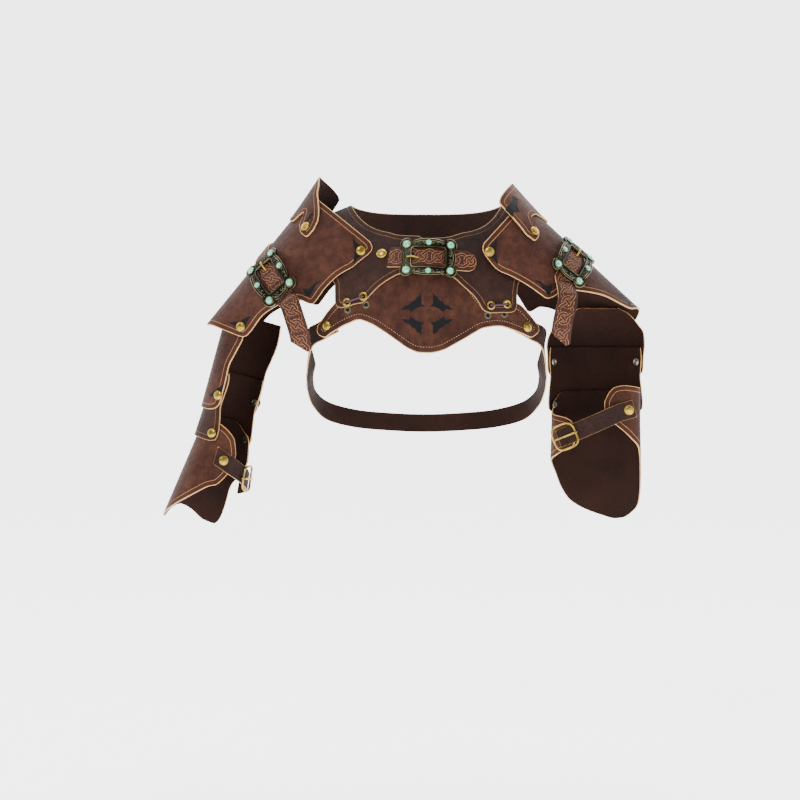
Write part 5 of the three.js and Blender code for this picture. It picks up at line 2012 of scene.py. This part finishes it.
@dataclass
class ArmSet:
    """The hinged plates and the laced cuff of one arm."""

    word: str
    shape: ArmShape
    kit: Fittings
    pin_across: float = 64.0
    upper: Optional[Piece] = None

    def horn_pair(self, u: float) -> tuple[Inlay, ...]:
        """Returns the dark horns that spread from a plate's two rivets."""
        return tuple(Inlay(u, s * self.pin_across, (horns(17.0, 15.0),), (-1, -s)) for s in (1, -1))

    def build(self) -> None:
        """Builds the arm's pieces from the shoulder down."""
        a, w = self.shape, self.word
        self.upper = Panel.cut(
            f"upper_hide_{w}", f"upper_plate_{w}", a.upper, a.upper_cut, "-half", a.far,
            inlays=self.horn_pair(a.upper_pin), held="hung", rests_on=(f"pauldron_hide_{w}",)
        ).dress(self.kit)
        middle = Panel.cut(
            f"middle_hide_{w}", f"middle_plate_{w}", a.middle, a.middle_cut, "-half", "half", held="hung",
            rests_on=(f"upper_hide_{w}",)
        ).dress(self.kit)
        emblem = tuple(Inlay(*a.emblem, (wing() * 0.62,), (-1, s)) for s in (1, -1))
        cuff = Panel.cut(
            f"cuff_hide_{w}", f"elbow_cuff_{w}", a.cuff, a.cuff_cut, "top", "foot", swap=True, base=lambda _: -0.1,
            inlays=emblem, held="hung", rests_on=(f"middle_hide_{w}",)
        ).dress(self.kit)
        for name, tube_, at, below in (
            ("upper", a.upper, a.upper_pin, middle), ("middle", a.middle, a.middle_pin, cuff)
        ):
            for k, s in ((1, 1), (2, -1)):
                seat = tube_.seat(at, s * self.pin_across, LAYER)
                back = depth_through(seat, below, True, 14.0)
                self.kit.rivet(f"rivet_{name}_{w}_{k}", seat, back=back or 2.4)


@dataclass
class CuffStraps:
    """The buckled straps that close the two cuffs."""

    kit: Fittings
    lay: float = LEATHER - 0.1 + SEAM
    half: float = CUFF_STRAP_WIDTH / 2

    @staticmethod
    def slant(v: Points) -> Points:
        """Returns where the left strap's middle runs."""
        return 149 + (v - 75) * 0.4

    def build(self) -> None:
        """Builds both straps."""
        self.build_left()
        self.build_right()

    def build_left(self) -> None:
        """Wraps the left strap round the cuff's open side."""
        Panel(
            "cuff_strap_hide_left", "cuff_strap_left", CUFF_L, np.array([70.0, 162.0]),
            lambda v: self.slant(v) - self.half, lambda v: self.slant(v) + self.half, swap=True,
            base=lambda _: self.lay, step=2.2, **STRAP, rests_on=("cuff_hide_left",)
        ).dress(self.kit)
        seat = CUFF_L.seat(self.slant(123.0), 123.0, self.lay + STRAP_WALL + 0.5)
        RoundedBuckle().dress("cuff_ring_left", "cuff_buckle_left", seat, 46.0, self.kit.brass)
        self.kit.rivet("rivet_cuff_left", CUFF_L.seat(self.slant(81.0), 81.0, self.lay + STRAP_WALL + SEAM), back=5.1)

    def build_right(self) -> None:
        """Runs the right strap across the front of the cuff."""
        rows = CUFF_STRAP_R.rows
        ribbon = Ribbon.through(rows, to_front, 140)
        Panel(
            "cuff_strap_hide_right", "cuff_strap_right", ribbon, np.array([0.0, ribbon.length]),
            lambda x: 0 * x - self.half, lambda x: 0 * x + self.half, step=2.2, **STRAP, rests_on=("cuff_hide_right",)
        ).dress(self.kit)
        c, w, n = (q[0] for q in ribbon.frame(ribbon.run[[120]]))
        seat = Seat(c + n * (STRAP_WALL + SEAM + 1.2), np.cross(n, w), w, n)
        RoundedBuckle().dress("cuff_ring_right", "cuff_buckle_right", seat, 300.0, self.kit.brass)
        c, w, n = (q[0] for q in ribbon.frame(ribbon.run[[10]]))
        self.kit.rivet("rivet_cuff_right", Seat.facing(c + n * (STRAP_WALL + SEAM), w, n), back=2.8)


@dataclass(frozen=True)
class ShoulderShape:
    """What differs between the two shoulders."""

    shell: Arch
    face: int
    ridge: float
    across: float
    lean: float
    back: float
    front: float
    ahead: float
    tail: Table
    cut: Table
    neck_corner: tuple[float, float]
    corners: tuple[int, ...]


@dataclass
class ShoulderSet:
    """One arched pauldron with its neck guard, strap and stoned buckle."""

    word: str
    shape: ShoulderShape
    yoke: Piece
    plate: Piece
    kit: Fittings
    arm_corner: tuple[float, float] = (188.0, 66.9)

    def build(self) -> None:
        """Builds the shoulder's pieces."""
        self.build_shell()
        self.build_guard()
        self.build_strap()

    def build_shell(self) -> None:
        """Cuts the pauldron with horns at its rivets and a dark corner patch."""
        w, shell = self.word, self.shape.shell
        patch = np.array([
            (-15, 6.6), (-4, 3.6), (3, 5.4), (13.4, 6.2), (14, 0.5), (8.4, -7.4), (6.4, -1.6), (0.5, 0.6), (-6, 1.2)
        ])
        inlays = []
        neck, arm = self.shape.neck_corner, self.arm_corner
        for s in (1, -1):
            inlays.append(Inlay(neck[0], s * neck[1], (horns(19.0, 19.0),), (1, -s)))
            inlays.append(Inlay(arm[0], s * arm[1], (horns(21.0, 18.0),), (-1, -s)))
            inlays.append(Inlay(90.0, s * 120.5, (patch,), (1, s)))
        Panel.cut(
            f"pauldron_hide_{w}", f"pauldron_{w}", shell, self.shape.cut, "-half", "half", base=lambda _: -LEATHER,
            inlays=tuple(inlays), rests_on=("yoke_hide",)
        ).dress(self.kit)
        for no in self.shape.corners:
            u, v = neck if no % 2 else arm
            seat = shell.seat(u, v if no < 3 else -v, SEAM)
            deep = depth_through(seat, self.yoke if no % 2 else self.plate, False)
            self.kit.rivet(f"rivet_pauldron_{w}_{no}", seat, deep=(deep or 3.0) - 0.1)

    def build_guard(self) -> None:
        """Cuts the raised neck guard and rivets it to the shell."""
        w, s = self.word, self.shape
        over = Arch(s.shell.start, s.shell.along, s.shell.out, s.shell.shape, GUARD_LIFT, s.face)
        fang = np.array([
            (-7.5, -3.2), (-1, -2.2), (6.5, -4.4), (14.5, -2.8), (9.4, -0.6), (10.2, 2.4), (5.2, 1.8), (1.4, 5.6),
            (-1.6, 2.2), (-9.6, 1.6)
        ])
        inlays = (Inlay(-4.0, -59.0, (fang * 2.0,), (1, 1), -78.0), Inlay(26.0, 62.0, (fang * 0.75,), (-1, 1)))
        Panel.cut(
            f"guard_hide_{w}", f"neck_guard_{w}", over, GUARD_CUT, "neck", "arm", swap=True, base=lambda _: SEAM,
            inlays=inlays, rests_on=(f"pauldron_hide_{w}",)
        ).dress(self.kit)
        for k, v in ((1, 66.0), (2, -66.0)):
            self.kit.rivet(f"rivet_guard_{w}_{k}", over.seat(37.0, v, LAYER + SEAM), back=4.8)

    def strap_line(self) -> Ribbon:
        """Returns the strap's line over the shell and down its tail."""
        s = self.shape
        a = radians(s.lean)

        def at(t: Points, w: float, off: float) -> tuple[Points, Points]:
            return s.shell.lifted(s.ridge + t * sin(a) + w * cos(a), s.across + t * cos(a) - w * sin(a), off)

        t = np.linspace(s.back, s.front, 200)
        c, n = at(t, 0.0, SEAM + 0.4)
        w = unit(at(t, 1.0, SEAM)[0] - at(t, -1.0, SEAM)[0])
        rows = s.tail.rows
        if w[-1, 0] * rows[0, 3] + w[-1, 2] * rows[0, 5] < 0:
            rows = rows * np.array([1, 1, 1, -1, -1, -1])
        tail = Ribbon.through(np.vstack([[*c[-1], *w[-1]], rows]), to_front, 80).frames[1:]
        frames = np.vstack([np.concatenate([c, w, n], 1), tail])
        return Ribbon(frames[:, :3], frames[:, 3:6], frames[:, 6:])

    def build_strap(self) -> None:
        """Runs the tooled strap through its stoned buckle."""
        ribbon, w = self.strap_line(), self.word
        end, half = ribbon.length, STRAP_WIDTH / 2 - 1
        side = 1.0 if ribbon.frames[-1, 3] < 0 else -1.0

        def reach(x: Points, sign: float) -> Points:
            run, tip = (16.0, -7.0) if sign == side else (3.5, 7.0)
            return sign * (half + (tip - half) * np.clip((x - end + run) / run, 0, 1) * 0.995)

        Panel(
            f"shoulder_strap_hide_{w}", f"shoulder_strap_{w}", ribbon, np.array([0.0, end]), lambda x: reach(x, -1.0),
            lambda x: reach(x, 1.0), step=0.8, **TOOLED, rests_on=(f"pauldron_hide_{w}",)
        ).dress(self.kit)
        s = self.shape
        a = radians(s.lean)
        seat = s.shell.seat(s.ridge + s.ahead * sin(a), s.across + s.ahead * cos(a), SEAM + STRAP_WALL + 2.4, s.lean)
        StonedBuckle(seat, 84.0, self.kit).dress(f"shoulder_buckle_{w}", f"shoulder_prong_{w}")
        c, wide, n = (q[0] for q in ribbon.frame(np.array([12.0])))
        self.kit.rivet(f"rivet_strap_{w}", Seat.facing(c + n * (STRAP_WALL + SEAM), wide, n), back=5.4)


@dataclass
class Studio:
    """Pale floor, soft lights and the camera."""

    eye: tuple = (-0.034, -2.6, -0.150)
    tilt: float = 2.224
    lens: float = 90.07
    floor: float = -0.75
    paper: tuple = (0.9, 0.905, 0.92, 1.0)
    glow: float = 2.0
    behind: float = 4.1
    before: float = 0.45

    def build(self) -> None:
        """Builds the studio and sets the camera."""
        self.build_floor()
        self.build_world()
        self.build_lights()
        camera = bpy.data.cameras.new("studio_camera")
        camera.lens, camera.sensor_width = self.lens, 36.0
        made = bpy.data.objects.new("studio_camera", camera)
        made.location = self.eye
        made.rotation_euler = (radians(90 - self.tilt), 0, 0)
        bpy.context.scene.collection.objects.link(made)
        bpy.context.scene.camera = made

    def build_floor(self) -> None:
        """Adds the plain floor."""
        select_only(None)
        bpy.ops.mesh.primitive_plane_add(size=60, location=(0, 0, self.floor))
        paper = bpy.context.active_object
        paper.name = "studio_paper"
        bpy.ops.object.transform_apply(location=True, rotation=True, scale=True)
        paper.data.materials.append(PlainFinish("white_paper", self.paper, 0.95, 900.0, self.glow).material())

    def build_world(self) -> None:
        """Adds a world that is white behind the harness and soft in front of it."""
        world = bpy.data.worlds.new("studio_world")
        world.use_nodes = True
        nodes, links = world.node_tree.nodes, world.node_tree.links
        split, span = nodes.new("ShaderNodeSeparateXYZ"), nodes.new("ShaderNodeMapRange")
        links.new(nodes.new("ShaderNodeTexCoord").outputs["Generated"], split.inputs[0])
        links.new(split.outputs["Y"], span.inputs["Value"])
        fill(span, From_Min=-0.45, From_Max=0.25, To_Min=self.before, To_Max=self.behind)
        links.new(span.outputs["Result"], nodes["Background"].inputs["Strength"])
        fill(nodes["Background"], Color=(0.96, 0.965, 0.99, 1))
        bpy.context.scene.world = world

    def build_lights(self) -> None:
        """Adds three soft area lights."""
        for name, place, aim, size, power in (
            ("key", (-1.2, -2.2, 2.0), (0, 0, -0.15), 0.9, 62), ("fill", (2.2, -2.2, 0.6), (0, 0, -0.2), 1.6, 14),
            ("top", (0.1, 0.6, 2.2), (0, 0, -0.2), 1.2, 30)
        ):
            light = bpy.data.lights.new(name, "AREA")
            light.size, light.energy = size, power
            made = bpy.data.objects.new(name, light)
            made.location = place
            made.rotation_euler = (Vector(aim) - Vector(place)).to_track_quat("-Z", "Y").to_euler()
            bpy.context.scene.collection.objects.link(made)


def main() -> None:
    """Builds the harness and the studio in order."""
    logging.basicConfig(level=logging.INFO, format="%(message)s", stream=sys.stdout)
    kit = Fittings()
    collar = CollarSet(kit)
    collar.build()
    arms = {
        "left": ArmShape(
            UPPER_L, MIDDLE_L, CUFF_L, UPPER_CUT_L, MIDDLE_CUT_L, CUFF_CUT_L, "half", 72.0, 121.0, (163.0, -8.0)
        ),
        "right": ArmShape(
            UPPER_R, MIDDLE_R, CUFF_R, UPPER_CUT_R, MIDDLE_CUT_R, CUFF_CUT_R, "far", 52.0, 108.0, (165.0, 8.0)
        ),
    }
    left = Arch((-148.2, 14.3), (-0.634, -0.773), (-0.773, 0.634), LEFT_SHAPE)
    right = Arch((124.3, 7.3), (0.737, -0.676), (0.676, 0.737), RIGHT_SHAPE)
    shoulders = {
        "left": ShoulderShape(
            left, 1, 111.0, 57.5, 14.7, -170.0, 47.0, 12.5, TAIL_L, PAULDRON_CUT_L, (16.4, 140.3), (1, 2, 3, 4)
        ),
        "right": ShoulderShape(
            right, -1, 98.0, 52.0, 8.0, -165.0, 49.0, 14.0, TAIL_R, PAULDRON_CUT_R, (12.5, 130.4), (1, 3, 4)
        ),
    }
    for word in ("left", "right"):
        arm = ArmSet(word, arms[word], kit)
        arm.build()
        ShoulderSet(word, shoulders[word], collar.yoke, arm.upper, kit).build()
    CuffStraps(kit).build()
    Studio().build()
    bpy.context.view_layer.update()


if __name__ == "__main__":
    main()
